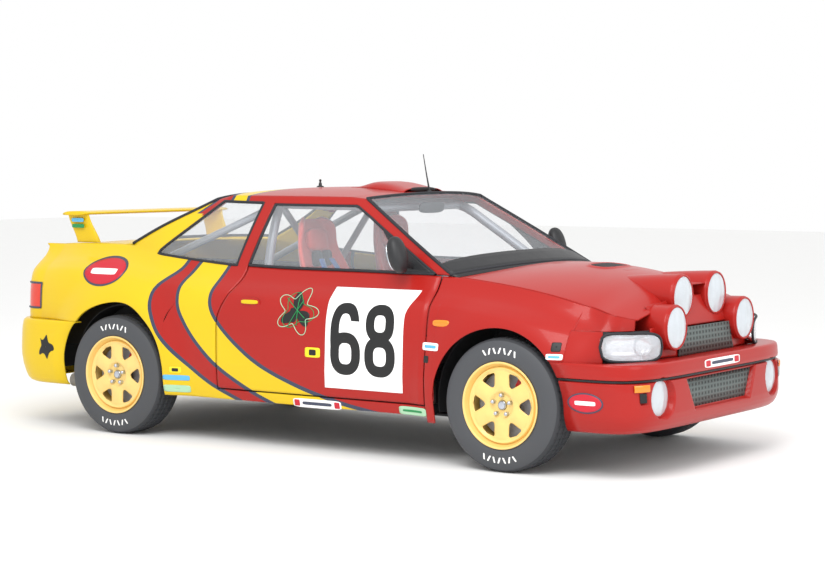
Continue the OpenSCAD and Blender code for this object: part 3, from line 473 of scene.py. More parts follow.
# %% [markdown]
# Window glass is nearly clear, with a faint cool tint and a sharp reflection. It lets most light by,
# so the seats and the cage behind it show pale. A fully refracting glass would darken the cabin.
# %% Glass, lenses and reflectors
def clear_sheet(name, colour, share, rough):
    """Glass whose share of light stopped on the way is given as alpha."""
    m, tree, shader = finish_of(name, IOR=1.52, Alpha=share, Specular_IOR_Level=0.6)
    mottle(tree, shader, colour, 0.03, 300, (rough, rough + 0.02))
    return m


window_glass = clear_sheet("laminated_window_glass", "#E6ECF2", 0.12, 0.03)
cover_glass = clear_sheet("moulded_lamp_cover", "#EEF3F7", 0.30, 0.05)


def lens_finish():
    """Pressed lamp glass: pale, partly clear, with ribs in its relief about 57 mm apart across the car."""
    m, tree, shader = finish_of("pressed_lens_glass", IOR=1.5, Transmission_Weight=0.35, Coat_Weight=0.4)
    place = mottle(tree, shader, "#E6EDF3", 0.10, 60, (0.08, 0.2))
    ribs = add(tree, "ShaderNodeTexWave", {"bands_direction": "Y"}, {"Vector": place.outputs["Object"]},
               {"Scale": 1000 / 9 / 20, "Distortion": 1.5, "Detail": 2.0, "Detail Scale": 1.5})
    relief = add(tree, "ShaderNodeBump", links={"Height": ribs.outputs["Fac"]},
                 values={"Strength": 0.5, "Distance": 0.003})
    tree.links.new(relief.outputs["Normal"], shader.inputs["Normal"])
    return m


lens_glass = lens_finish()
reflector = plain("vacuum_plated_reflector", "#E4E8EE", 0.12, 35, (0.12, 0.3), Metallic=1.0)
mirror_glass = plain("silvered_mirror", "#D5DAE0", 0.02, 80, (0.02, 0.04), Metallic=1.0)

# %% [markdown]
# The grilles are woven wire, painted dark. Modelled one by one, the crossed threads would be many
# small tubes, so the weave is drawn as a height and a tone from two crossed waves.
# %% Wire mesh
def wire_mesh():
    """The higher of two wave bands, 35 mm apart across and 27 mm up: lighter on a thread, and dark in a hole
    as painted shade for the space behind the wire.
    """
    m, tree, shader = finish_of("woven_wire_grille", IOR=1.5, Metallic=0.1)
    place = add(tree, "ShaderNodeTexCoord")
    waves = [add(tree, "ShaderNodeTexWave", {"bands_direction": d}, {"Vector": place.outputs["Object"]},
                 {"Scale": 1000 / 11 / 20 * s * 2, "Distortion": 0.0}) for d, s in (("Y", 1.0), ("Z", 1.3))]
    weave = add(tree, "ShaderNodeMath", {"operation": "MAXIMUM"},
                {0: waves[0].outputs["Fac"], 1: waves[1].outputs["Fac"]})
    # The dark tone in the holes is painted shade for the space behind the wire; the lighter tone is the
    # thread.
    tone = add(tree, "ShaderNodeMix", {"data_type": "RGBA"}, {"Factor": weave.outputs[0]},
               {6: linear("#1C2120"), 7: linear("#5F6967")})
    tree.links.new(tone.outputs[2], shader.inputs["Base Color"])
    relief = add(tree, "ShaderNodeBump", links={"Height": weave.outputs[0]},
                 values={"Strength": 0.8, "Distance": 0.003})
    tree.links.new(relief.outputs["Normal"], shader.inputs["Normal"])
    shader.inputs["Roughness"].default_value = 0.5
    return m


grille_wire = wire_mesh()


def seat_cloth_finish():
    """Plain weave, drawn coarse: the higher of two crossed waves, 31 mm apart, raises the cloth."""
    m, tree, shader = finish_of("woven_seat_cloth", IOR=1.46, Sheen_Weight=0.5, Sheen_Roughness=0.4)
    place = mottle(tree, shader, "#D9544C", 0.10, 90, (0.75, 0.9))
    waves = [add(tree, "ShaderNodeTexWave", {"bands_direction": d}, {"Vector": place.outputs["Object"]},
                 {"Scale": 1000 / 5 / 20, "Distortion": 0.6}) for d in ("Y", "Z")]
    weave = add(tree, "ShaderNodeMath", {"operation": "MAXIMUM"},
                {0: waves[0].outputs["Fac"], 1: waves[1].outputs["Fac"]})
    relief = add(tree, "ShaderNodeBump", links={"Height": weave.outputs[0]},
                 values={"Strength": 0.35, "Distance": 0.001})
    tree.links.new(relief.outputs["Normal"], shader.inputs["Normal"])
    return m


seat_cloth = seat_cloth_finish()
strap_webbing = plain("woven_harness_webbing", "#2C5FA8", 0.15, 6, (0.7, 0.85), 0.5, 2.0, IOR=1.46,
                      Sheen_Weight=0.3)
print("glass, grille and cloth ready")

# %% [markdown]
# ## The shape of the side
# The side is a height-and-length map: for each place x along the car and height z it says how far
# out the skin lies. It starts from the plan of the car, leans in towards the windows, tucks in at the
# sill and swells over the wheels. One function serves the doors, wings, quarters and all marks.
# %% Side surface
edge_pins = [(rear_x - 840, 78), (rear_x - 640, 98), (rear_x - 440, 108), (rear_x - 60, 104),
             (rear_x + 170, 64),
             (door_rear_x + 120, 12), (door_front_x - 400, 4), (front_x - 400, 0), (front_x - 260, -10),
             (front_x - 10, -40), (front_x + 220, -80), (front_x + 476, -144), (front_x + 600, -179),
             (front_x + 700, -210)]
lean_pins = [(0, 144), (40, 122), (75, 96), (110, 60), (150, 28), (235, 6), (335, 0)]
plan_pins = [(tail_x, 120), (rear_x - 500, 28), (rear_x - 200, 6), (rear_x + 500, 2), (0, 0),
             (front_x - 400, 2),
             (front_x, 4), (front_x + 300, 10), (front_x + 476, 51), (front_x + 540, 104),
             (front_x + 600, 197), (front_x + 640, 300)]
tuck_pins = [(200, 34), (300, 12), (430, 0)]


def edge_z(x):
    """Height of the upper edge of the side."""
    return belt + curve(edge_pins, x)


def side_y(x, z):
    """Half width less the plan, lean and sill insets, plus a swell that fades 190 mm out from each arch."""
    d = edge_z(x) - z
    gain = 1 + 0.4 * smooth((rear_x + 250 - x) / 350) - 0.7 * smooth((x - front_x - 380) / 220)
    flare = sum(36 * (1 - smooth((np.hypot(x - ax, z - az) - arch_r) / 190)) for ax, az in arches)
    return half_width - curve(plan_pins, x) - curve(lean_pins, d) * gain - curve(tuck_pins,
            z) + flare * smooth(d / 160 + 0.15)


def arch_low(x, arch, low):
    """Lower edge of a panel over a wheel: the arch's circle, or the given height beside it."""
    ax, az = arch
    return np.where(np.abs(x - ax) >= arch_r, low, az + np.sqrt(np.maximum(arch_r**2 - (x - ax) ** 2, 0)))


# %% [markdown]
# ## Body sides
# One pressing takes in the sill, the rear quarter, the pillars and the roof rail, with holes for the
# door, the quarter window and the tail lamp. Its grid runs along the car in stations and up the car
# in rows; the holes are cells left out.
# %% Body sides
stations = np.array([
    (door_front_x, front_x - 400, pillar_top_x), (door_front_x, front_x - 482, pillar_top_x - 110),
    (front_x - 700, front_x - 720, pillar_top_x - 200),
    (mix(door_front_x, door_rear_x, 0.5), mix(front_x - 720, rear_x + 810, 0.4), pillar_top_x - 320),
    (door_rear_x + 300, rear_x + 1040, rear_x + 1050), (door_rear_x + 120, rear_x + 900, rear_x + 960),
    (door_rear_x, rear_x + 812, rear_x + 900), (door_rear_x - 170, rear_x + 740, rear_x + 826),
    (arches[1][0] + arch_r + 4, rear_x + 640, rear_x + 770),
    (arches[1][0] + arch_r - 1, rear_x + 560, rear_x + 730),
    (arches[1][0] + arch_r * 0.86, rear_x + 480, rear_x + 690),
    (arches[1][0] + arch_r * 0.5, rear_x + 320, rear_x + 630),
    (arches[1][0], rear_x + 168, rear_x + 570), (arches[1][0] - arch_r * 0.5, rear_x - 56, rear_x + 460),
    (arches[1][0] - arch_r * 0.74, rear_x - 220, rear_x + 380),
    (arches[1][0] - arch_r, rear_x - 340, rear_x + 300),
    (rear_x - 520, rear_x - 500, rear_x + 200), (tail_lamp_x, tail_lamp_x, rear_x + 100)])
low_share = np.array([0, 0.14, 0.3, 0.48, 0.66, 0.84, 1])
high_share = np.array([0, 0.33, 0.66, 0.9, 1])
roof_half = [(rear_x + 340, 520), (rear_x + 700, 545), (0, 556), (front_x - 1100, 552),
             (front_x - 980, 545)]
crown_pins = [(rear_x + 300, 66), (rear_x + 520, 24), (rear_x + 820, 4), (0, 0), (front_x - 1150, 12),
              (front_x - 950, 34)]


def side_grid(c, j):
    """Points at stations c and rows j. Rows 0 to 6 climb to the window sill, 6 to 10 to the roof."""
    c, j = np.asarray(c, float)[:, None], np.asarray(j, float)[None]
    at = [curve(np.stack([np.arange(18), stations[:, k]], 1), c) if k else np.interp(c, np.arange(18),
            stations[:, 0]) for k in range(3)]
    arch = arches[1]
    low = np.where(at[0] < arch[0], np.maximum(arch_low(at[0], arch, 0), bumper_top),
                   arch_low(at[0], arch, 240))
    lift = np.interp(c, [6, 7], [8, 0])
    top = edge_z(at[1]) + lift
    door_row = np.interp(c, [0, 1, 6, 7], [0, 1, 1, 0])
    share = np.interp(np.minimum(j, 6), np.arange(7), low_share)
    z_low = mix(low, top, share)
    first = mix(mix(low, top, low_share[1]), 300 - shut_gap, door_row)
    near_first = np.clip(1 - np.abs(j - 1), 0, 1)
    z_low = z_low + near_first * (first - mix(low, top, low_share[1]))
    t = np.interp(j, np.arange(6, 11), high_share)
    edge_drop = np.interp(c, [0, 1, 12, 13], [-10, 0, 0, -26])
    z_high = mix(edge_z(at[1]) + 8, roof_edge_z + edge_drop, t)
    z = np.where(j > 6, z_high, z_low)
    x = np.where(j > 6, mix(at[1], at[2], t), mix(at[0], at[1], smooth((z - 640) / 300)))
    rail = mix(side_y(x, edge_z(x)), curve(roof_half, x), t) + 9 * np.sin(np.pi * t)
    return np.stack([x, np.where(j > 6, rail, side_y(x, z)), z], -1)


def corner_grid(turn, z):
    """The rear corner: a superellipse quarter in plan from the side to the boot lid, at turns 0 to 1."""
    turn, z = np.asarray(turn, float)[:, None], np.asarray(z, float)[None]
    c, s = oval(90 * (1 - turn), 2.6)
    reach = 172 - 60 * smooth((z - 850) / 180)
    return join(tail_lamp_x - reach * c,
                    mix(boot_half + shut_gap + 4, side_y(tail_lamp_x, z), s), z)


PER = 8
fine_j = np.linspace(0, 10, 10 * PER + 1)
fine_c = np.linspace(0, 17, 17 * PER + 1)
corner_turns = np.linspace(0, 1, 4 * PER + 1)[1:]
corner_z = mix(bumper_top, edge_z(tail_lamp_x), np.interp(np.minimum(fine_j, 6), np.arange(7), low_share))
side_skin = np.concatenate([side_grid(fine_c, fine_j), corner_grid(corner_turns, corner_z)])
cell_c = (np.arange(len(side_skin) - 1) // PER)[:, None]
cell_j = (np.arange(len(fine_j) - 1) // PER)[None]
side_keep = ~(((cell_c == 0) & (cell_j < 6))
              | ((cell_c >= 1) & (cell_c <= 5) & (cell_j >= 1) & (cell_j <= 8))
              | ((cell_c >= 7) & (cell_c <= 11) & (cell_j >= 6) & (cell_j <= 8))
              | ((cell_c >= 13) & (cell_j >= 6))
              | ((cell_c >= 17) & (cell_j >= 1) & (cell_j <= 2)))
for side, sign in SIDES:
    skin = mirrored(side_skin, sign)
    piece = sheet(f"side_pressing_{side}", skin, enamel_bands, "body", (0, 0, 600), side_keep, wall=16)
    add_livery(piece)
    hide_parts(f"body_side_{side}")
print("body sides:", side_skin.shape)

# %% [markdown]
# ## Doors and front wings
# The door is a box of two pressings, drawn here as an outer skin, a lining 50 mm behind it and a cap
# along the top. The wing is thin sheet over the wheel. Both take their shape from the side surface.
# %% Doors and wings
def door_grid(t, r):
    """Length share t from front to rear, height share r. The front and rear edges bend with the pillars."""
    t, r = np.asarray(t, float)[:, None], np.asarray(r, float)[None]
    low_x = np.interp(t, [0, 0.03, 1], [door_front_x, hinge_x - 24, door_rear_x + shut_gap])
    high_x = np.interp(t, [0, 0.03, 1], [door_front_x, hinge_x - 24, rear_x + 812 + shut_gap])
    z = mix(300, edge_z(high_x), r)
    x = mix(low_x, high_x, smooth((z - 640) / 300))
    return np.stack([x, side_y(x, z), z], -1)


for side, sign in SIDES:
    t = np.concatenate([[0, 0.015], np.linspace(0.03, 1, 90)])
    skin = door_grid(t, np.linspace(0, 1, 60))
    skin = mirrored(skin, sign)
    piece = sheet(f"door_skin_{side}", skin, enamel_bands, f"door_{side}", (0, 0, 600), wall=6)
    add_livery(piece)
    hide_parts(f"door_{side}")
    inner = door_grid(np.linspace(0.035, 1, 40), np.linspace(0, 1, 30)) - np.array([0, 50.0, 0])
    inner[-1, :, 0] += 30
    lining = sheet(f"door_lining_{side}", mirrored(inner, sign), enamel_bands, f"door_{side}",
                   (0, sign * 2000, 600), wall=0)
    add_livery(lining)
    thicken(lining, 3, -1)
    sill_cap = np.stack([door_grid(np.linspace(0.035, 1, 60), [1.0])[:, 0] - [0, 1, 1],
                         door_grid(np.linspace(0.035, 1, 60), [1.0])[:, 0] - [0, 51, 1]], 1)
    cap = sheet(f"door_top_{side}", mirrored(sill_cap, sign), black_plastic, f"door_{side}", (0, 0, -5000),
                wall=4)

wing_x = np.unique(np.concatenate([np.linspace(door_front_x + shut_gap, front_x + 352, 130),
                                   arches[0][0] + arch_r * np.sin(np.radians(np.linspace(-90, 90, 70))),
                                   [front_x + 360.1], np.linspace(front_x + 361, front_x + 600, 50)]))


def wing_grid(x, t):
    """From the lower edge, which follows the arch, the bumper and the lamp, up to the bonnet seam."""
    x, t = x[:, None], t[None]
    low = np.where(x > front_x + 360, 704.8, np.where(x > arches[0][0],
                   np.maximum(arch_low(x, arches[0], 0), front_bumper_top), arch_low(x, arches[0], 212)))
    z = mix(low, edge_z(x), t)
    return np.stack([x + 0 * z, side_y(x, z), z], -1)


for side, sign in SIDES:
    skin = wing_grid(wing_x, np.linspace(0, 1, 50))
    piece = sheet(f"wing_skin_{side}", mirrored(skin, sign), enamel_red, "body", (1300, 0, 600), wall=7)
    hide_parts(f"front_wing_{side}")
print("doors and wings made")

# %% [markdown]
# ## Bumpers
# A bumper is one moulding that turns both corners of the car. Seen from above it is a superellipse
# quarter on each side. The grille opening and the two fog lamp cups are pressed in with a soft step
# in depth, since cutting holes would leave ragged cell edges.
# %% Bumper skins
front_rows = np.array([(226, 60, 26), (232, 36, 16), (245, 20, 10), (262, 10, 6), (285, 3, 2), (310, 0, 0),
                       (350, 2, 0), (390, 4, 0),
                       (430, 6, 0), (458, 8, 0), (468, 9, 1), (471, 26, 12), (484, 26, 12), (487, 10, 1),
                       (500, 8, 0), (540, 10, 0),
                       (552, 13, 1), (558, 20, 4), (560, 36, 10), (560, 120, 40)], float)
rear_rows = np.array([(246, 70, 30), (254, 46, 20), (270, 30, 13), (300, 20, 8), (345, 8, 3), (400, 0, 0),
                      (520, 0, 0),
                      (560, 1, 0), (590, 4, 2), (602, 9, 4), (610, 20, 10), (610, 110, 60)], float)
turn_of = lambda count: 90 * np.sign(np.linspace(1, -1, count)) * np.abs(np.linspace(1, -1, count)) ** 1.9


def bumper_grid(rows, per, count, front):
    """Height rows by turn angles: length and width of the quarter follow the arch edge at each height."""
    z, back, inside = (steps(rows[:, k], per)[None] for k in range(3))
    angle = turn_of(count)[:, None]
    ax, az = arches[0] if front else arches[1]
    reach = np.where(z < az, arch_r, np.sqrt(np.maximum(arch_r**2 - (z - az) ** 2, 0))) + 2
    start = ax + reach if front else ax - reach
    c, s = oval(np.abs(angle), FRONT_POWER if front else REAR_POWER)
    if front:
        length, width, sign = nose_x - back - start, side_y(start, np.minimum(z, 540)) - inside, 1
    else:
        length, width, sign = start - tail_x - back, side_y(start, z) + 4 - inside, -1
    return join(start + sign * length * c, np.sign(angle) * width * s, z)


def press_in(grid, wide_at, depth, edge=7.0):
    """Pushes points back by a depth where the signed distance wide_at(y, z) is below zero."""
    inside = smooth(0.5 - wide_at(grid[..., 1], grid[..., 2]) / edge)
    return grid - np.stack([depth * inside, 0 * inside, 0 * inside], -1)


def grille_shape(y, z):
    """Signed distance to a trapezoid, 766 mm wide at z = 466 and 606 mm wide at z = 310."""
    side = (np.abs(y) - mix(303, 383, (z - 310) / 156)) / math.hypot(1, 80 / 156)
    return np.maximum(side, np.abs(z - 388) - 78)


fog_y, fog_z = 596.0, 390.0
skin = bumper_grid(front_rows, 5, 420, True)
skin = press_in(skin, grille_shape, 34)
skin = press_in(skin, lambda y, z: np.hypot(np.abs(y) - fog_y - 10, z - fog_z) - 97, 34)
skin = press_in(skin, lambda y, z: np.maximum(np.abs(np.abs(y) - 742) - 16 + (z - 400) * 0.3,
                                              np.abs(z - 402) - 28), 26)
bumper = sheet("front_bumper_moulding", skin, enamel_red, "body", (1500, 0, 400), wall=7)
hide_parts("front_bumper")
skin = bumper_grid(rear_rows, 6, 240, False)
bumper = sheet("rear_bumper_moulding", skin, enamel_yellow, "body", (-1500, 0, 400), wall=7)
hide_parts("rear_bumper")


def panel_inset(name, rows, columns, material):
    """Flat panel spanned between rows of points, each mixed across by the column shares."""
    grid = mix(np.asarray(rows, float)[:, :1], np.asarray(rows, float)[:, 1:],
               np.asarray(columns)[None, :, None])
    piece = sheet(name, grid, material, "body", (1500, 0, grid[..., 2].mean()), wall=4)
    return piece


face_at = nose_x - 31
lower = panel_inset("lower_grille_mesh",
                    [[(face_at, 303, 311), (face_at, -303, 311)],
                     [(face_at - 4, 383, 465), (face_at - 4, -383, 465)]],
                    np.linspace(0, 1, 40), grille_wire)
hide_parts("grilles")
panel_inset("upper_grille_mesh", [[(1999, 305, 562), (1999, -305, 562)],
                                  [(1993, 262, 700), (1993, -262, 700)]],
                    np.linspace(0, 1, 40), grille_wire)
groove = bumper_grid(np.array([(472, 20, 9), (478, 18.5, 8), (484, 20, 9)], float), 4, 300, True)
groove = sheet("bumper_groove_strip", groove, black_plastic, "body", (1500, 0, 478), wall=3)
print("bumpers and grilles made")

# %% [markdown]
# ## Roof and glass
# The roof is pressed between the two side rails and crowned across. Both screens are bent between
# their pillars. Each pane sits in a black rubber seal, made as a tube along the pane's edge.
# %% Roof, screens and seals
roof_rows = np.linspace(13, 0, 13 * 6 + 1)
width_shares = np.linspace(1, -1, 61)


def roof_grid(c, s):
    """Side rail points at stations c, bowed by the square and crowned by the power 2.2 of width share s."""
    rail = side_grid(c, [10.0])[:, 0]
    bow = mix(-60, 70, (rail[:, 0] - rear_x - 460) / (pillar_top_x - rear_x - 460))[:, None]
    s = np.asarray(s)[None]
    x = rail[:, None, 0] + bow * (1 - s**2)
    rise = roof_height - curve(crown_pins, x) - rail[:, None, 2]
    return np.stack([x, s * (rail[:, None, 1] - 1), rail[:, None, 2] + rise * (1 - np.abs(s) ** 2.2)], -1)


roof = sheet("roof_pressing", roof_grid(roof_rows, width_shares), enamel_bands, "body", (0, 0, 900),
             wall=12)
add_livery(roof)
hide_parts("roof")


def screen_grid(station, bow, rise, out, rows=33):
    """From the pillar's foot to its top: bowed and raised across like the roof, then moved outwards."""
    j = np.linspace(6, 10, rows)
    pillar = side_grid([station], j)[0]
    t = np.interp(j, np.arange(6, 11), high_share)[:, None]
    foot_z = edge_z(pillar[0, 0]) + 8
    z = np.where(j == 6, foot_z, pillar[:, 2])[:, None]
    s = width_shares[None]
    return join(pillar[:, None, 0] + mix(bow[0], bow[1], t) * (1 - s**2), s * (pillar[:, None, 1] - 3),
                    z + mix(rise[0], rise[1], t) * (1 - np.abs(s) ** 2.2)) + np.asarray(out, float)


screen_rise = (40, roof_height - float(curve(crown_pins, pillar_top_x + 70)) - roof_edge_z + 10)
back_rise = (14, roof_height - float(curve(crown_pins, rear_x + 400)) - roof_edge_z + 26)
front_pane = screen_grid(0, (140, 70), screen_rise, (3, 0, 4))
rear_pane = screen_grid(13, (-110, -60), back_rise, (-2.5, 0, 4))


def glaze(name, grid, body, node, centre, seal=9.0):
    """A pane from a grid, with a seal along its rim."""
    pane = sheet(name, grid, window_glass, body, centre, wall=4)
    if node:
        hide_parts(node)
    rim = np.concatenate([grid[0, :-1], grid[:-1, -1], grid[-1, :0:-1], grid[:0:-1, 0]])
    ring = tube(name + "_seal", rim, seal, seal_rubber, body, around=10, closed=True, per=1)
    return pane


glaze("windscreen_pane", front_pane, "body", "windscreen", (0, 0, 700))
glaze("rear_window_pane", rear_pane, "body", "rear_window", (0, 0, 700))
quarter = side_grid(np.linspace(7, 12, 41), np.linspace(6, 9, 25)) - [0, 3, 0]
door_pane = side_grid(np.linspace(1, 6, 41), np.linspace(6, 9, 25)) - [0, 5, 0]
door_pane[0, :, 0] -= 11
door_pane[-1, :, 0] += 11
door_pane[:, -1, 2] -= 8
for side, sign in SIDES:
    glaze(f"quarter_pane_{side}", mirrored(quarter, sign), "body", "quarter_windows" if sign > 0 else None,
          (0, 0, 1100), 8)
    glaze(f"door_pane_{side}", mirrored(door_pane, sign), f"door_{side}", f"door_glass_{side}",
          (0, 0, 1100), 8)

cowl_back = screen_grid(0, (140, 70), screen_rise, (0, 0, 0), rows=2)[0]
bonnet_start = cowl_back[:, 0] + 46
cowl_rows = np.stack([cowl_back + [-16, 0, 3], cowl_back + [8, 0, 5],
                      np.stack([bonnet_start - shut_gap, cowl_back[:, 1], cowl_back[:, 2] - 9], -1)])
cowl = sheet("cowl_strip", cowl_rows, black_plastic, "body", (800, 0, 500), wall=12)
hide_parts("cowl_panel")
base_band = screen_grid(0, (140, 70), screen_rise, (6, 0, 8))[0:5]
base_band[-1] = mix(base_band[-1], base_band[-2], np.abs(width_shares)[:, None] ** 6)
base_band = sheet("windscreen_base_band", base_band, black_plastic, "body", (0, 0, 700), wall=3)
print("roof and panes made")

# %% [markdown]
# ## Bonnet, vents and lamp pods
# The bonnet is crowned across its width. The four extra lamps sit in tubes that run back and melt
# into it. Each tube is a circle carried backwards while it sinks and shrinks into the sheet.
# %% Bonnet and pods
bonnet_front_x = front_x + 602
bonnet_crown = [(front_x - 330, 52), (front_x - 10, 92), (front_x + 220, 110), (front_x + 390, 118),
                (front_x + 520, 100), (bonnet_front_x, 60)]


def bonnet_z(x, y):
    """Seam height plus the crown, which falls as the square of the width share."""
    half = side_y(x, edge_z(x)) - shut_gap - 8
    return edge_z(x) + curve(bonnet_crown, x) * (1 - np.minimum(np.abs(y) / half, 1) ** 2)


s = np.linspace(1, -1, 161)
t = np.linspace(0, 1, 141)[:, None]
x = mix(np.interp(s, width_shares[::-1], bonnet_start[::-1])[None], bonnet_front_x, t)
y = s[None] * (side_y(x, edge_z(x)) - shut_gap - 8)
z = bonnet_z(x, y)
vents = [(1440.0, 0.0, 62.0, 132.0)]
for vx, vy, a, b in vents:
    hole = 1 - ((np.abs(x - vx) / a) ** 3 + (np.abs(y - vy) / b) ** 3)
    z = z - 16 * smooth(hole * 1.2) + 7 * smooth(1 - np.abs(hole + 0.3) * 1.4)
bonnet = sheet("bonnet_pressing", np.stack([x, y, z], -1), enamel_red, "bonnet", (1400, 0, 0), wall=9)
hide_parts("bonnet")
for k, (vx, vy, a, b) in enumerate(vents):
    u, v = np.linspace(-0.88, 0.88, 14)[:, None], np.linspace(-0.88, 0.88, 14)[None]
    vent = join(vx + a * u * (1 - 0.12 * v**2), vy + b * v * (1 - 0.12 * u**2), 0 * u * v)
    vent[..., 2] = bonnet_z(vent[..., 0], vent[..., 1]) + 4
    vent = sheet(f"bonnet_vent_{k}", vent, dark_paint, "bonnet", (1400, 0, 0), wall=4)

pods = [(1957.0, 183.0, 847.0, 1520.0, 30), (2023.0, 378.0, 709.0, 1690.0, 60)]
pod_r = 113.0
for k, (px, py, pz, back, drop) in enumerate(pods):
    u = np.concatenate([[0], np.linspace(0.02, 1, 30)])[None]
    a = round_angles(72)[:, None]
    cx = mix(px, back, u)
    cz = pz + drop * u**1.5 * (0.6 if k else 0.4)
    r = pod_r * (1 - 0.25 * u**2) - np.where(u == 0, 5.0, 0)
    for side, sign in SIDES:
        pod = join(cx, sign * (py - 30 * u**2) + r * np.cos(a), cz + r * np.sin(a) * (1 - 0.15 * u))
        shell = new_piece(f"lamp_pod_{'lower' if k else 'upper'}_{side}", pod,
                          faces_of_grid(72, pod.shape[1], wrap=True), enamel_red,
                          "bonnet", (cx.mean(), sign * py, pz))
        thicken(shell, 4)
        if k == 0 and sign > 0:
            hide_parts("lamp_pods")
bridge = np.stack(np.broadcast_arrays(*np.meshgrid(np.linspace(1560, 1946, 24), np.linspace(-200, 200, 31),
                                                   indexing="ij"), 0.0), -1)
bridge[..., 2] = mix(bonnet_z(bridge[..., 0], bridge[..., 1]) + 2, 905,
                     smooth((bridge[..., 0] - 1560) / 250)) - 40 * smooth((np.abs(bridge[...,
                             1]) - 60) / 140)
web = sheet("pod_bridge", bridge, enamel_red, "bonnet", (1800, 0, 500), wall=6)
fx, fy = np.linspace(0, 1, 20)[:, None], np.linspace(-1, 1, 41)[None]
front_z = mix(mix(845.0, 812.0, fy**2), 703.0, fx)
fascia = join(bonnet_front_x + mix(0.0, 44.0, fx) - 26 * fy**4, fy * mix(470.0, 430.0, fx), front_z)
fascia = sheet("bonnet_front_face", fascia, enamel_red, "bonnet", (1700, 0, 780), wall=5)

# %% [markdown]
# ## Lamps
# A lamp is a plated bowl with a domed glass in front, held by a thin bezel. All the round lamps are
# lathe work on one profile, scaled to their diameter.
# %% Round lamps
def round_lamp(name, at, radius, body, depth=55.0):
    """Bowl: depth falls as the square of the radius. Glass: a dome 14 mm high. Bezel: a small ring."""
    r = np.linspace(0, 1, 14)
    bowl = turned(name + "_bowl", np.stack([-depth * (1 - r**2) - 4, radius * 0.95 * r], -1), at, (1, 0, 0),
                  reflector, body)
    glass = turned(name + "_glass", np.concatenate([np.stack([14 * (1 - r**2), radius * 0.97 * r], -1),
                   [(-4, radius * 0.97)], np.stack([10 * (1 - r[::-1] ** 2) - 4, radius * 0.93 * r[::-1]],
                                                   -1)]), at, (1, 0, 0), lens_glass, body)
    bezel = turned(name + "_bezel", [(-6, radius * 0.93), (2, radius * 0.94), (5, radius * 0.98),
                                     (3, radius * 1.03), (-8, radius * 1.04), (-6, radius * 0.93)],
                   at, (1, 0, 0), enamel_red, body, per=3)
    bulb = cushion(name + "_bulb", (at[0] - depth * 0.55, at[1], at[2]), (14, 9, 9), 2.2, nut_steel, body,
                   n=12)
    return glass


for side, sign in SIDES:
    for k, (px, py, pz, _, _) in enumerate(pods):
        round_lamp(f"extra_lamp_{'lower' if k else 'upper'}_{side}", (px + 1, sign * py, pz), 105, "bonnet")
    fog = round_lamp(f"fog_lamp_{side}", (nose_x - 42, sign * (fog_y + 10), fog_z), 92, "body", 40)
    if sign > 0:
        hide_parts("front_lamps")


def head_lamp(side, sign):
    """A band of the superellipse corner between two heights. Its rows draw together at the ends."""
    angle = np.linspace(67, 27.5, 60)[:, None]
    row = np.linspace(-1, 1, 25)[None]
    e = (angle - 47.25) / 19.75
    half = 66 * (1 - np.abs(e) ** 5) ** 0.35 + 2
    c, s = oval(angle, 3)
    x0 = front_x + 272 + 447 * c
    z = head_lamp_z + row * half + 5 * e
    grid = join(x0, sign * np.maximum((half_width - 5) * s - 1, 470), z)
    back = grid - np.array([40, sign * 26, 0]) * (1 - np.abs(row)[..., None] ** 4)
    cover = sheet(f"head_lamp_cover_{side}", grid + [2, sign * 2, 0], cover_glass, "body",
                  (1500, 0, head_lamp_z), wall=3)
    bowl = sheet(f"head_lamp_bowl_{side}", back, reflector, "body", (1500, 0, head_lamp_z), wall=2)
    rim = np.concatenate([grid[:-1, 0], grid[-1, :-1], grid[:0:-1, -1], grid[0, :0:-1]]) + [1, sign, 0]
    seal = tube(f"head_lamp_seal_{side}", rim[::2], 7, seal_rubber, "body", around=10, closed=True, per=1)
    for a, r in ((58, 50), (38, 44)):
        cc, ss = oval(a, 3)
        eye = turned(f"head_lamp_eye_{side}_{a}",
                     [(-22, 0.1), (-20, r * 0.5), (-12, r * 0.85), (-2, r), (-6, r)],
                     (front_x + 272 + 430 * cc - 6, sign * ((half_width - 5) * ss - 24), head_lamp_z),
                     (math.cos(math.radians(90 - a)), sign * math.sin(math.radians(90 - a)) * 0.5, 0),
                     reflector, "body", around=48, per=3)
    cheek_z = np.linspace(554, 708, 25)[None]
    wing_x, lamp_x = front_x + 346, float(x0[0, 0]) + 10
    u = np.linspace(0, 1, 30)[:, None]
    wing_y, lamp_y = side_y(wing_x + 0 * cheek_z, cheek_z), float((half_width - 5) * s[0, 0]) - 8
    cheek = join(mix(wing_x, lamp_x, u), sign * mix(wing_y, lamp_y, u**1.7), cheek_z)
    cheek = sheet(f"head_lamp_cheek_{side}", cheek, enamel_red, "body", (1500, 0, head_lamp_z), wall=3)
    dark = join(x0 - 46, sign * np.maximum((half_width - 5) * s - 40, 440), head_lamp_z + row * 72)
    box = sheet(f"head_lamp_housing_{side}", dark, black_plastic, "body", (1500, 0, head_lamp_z), wall=2)


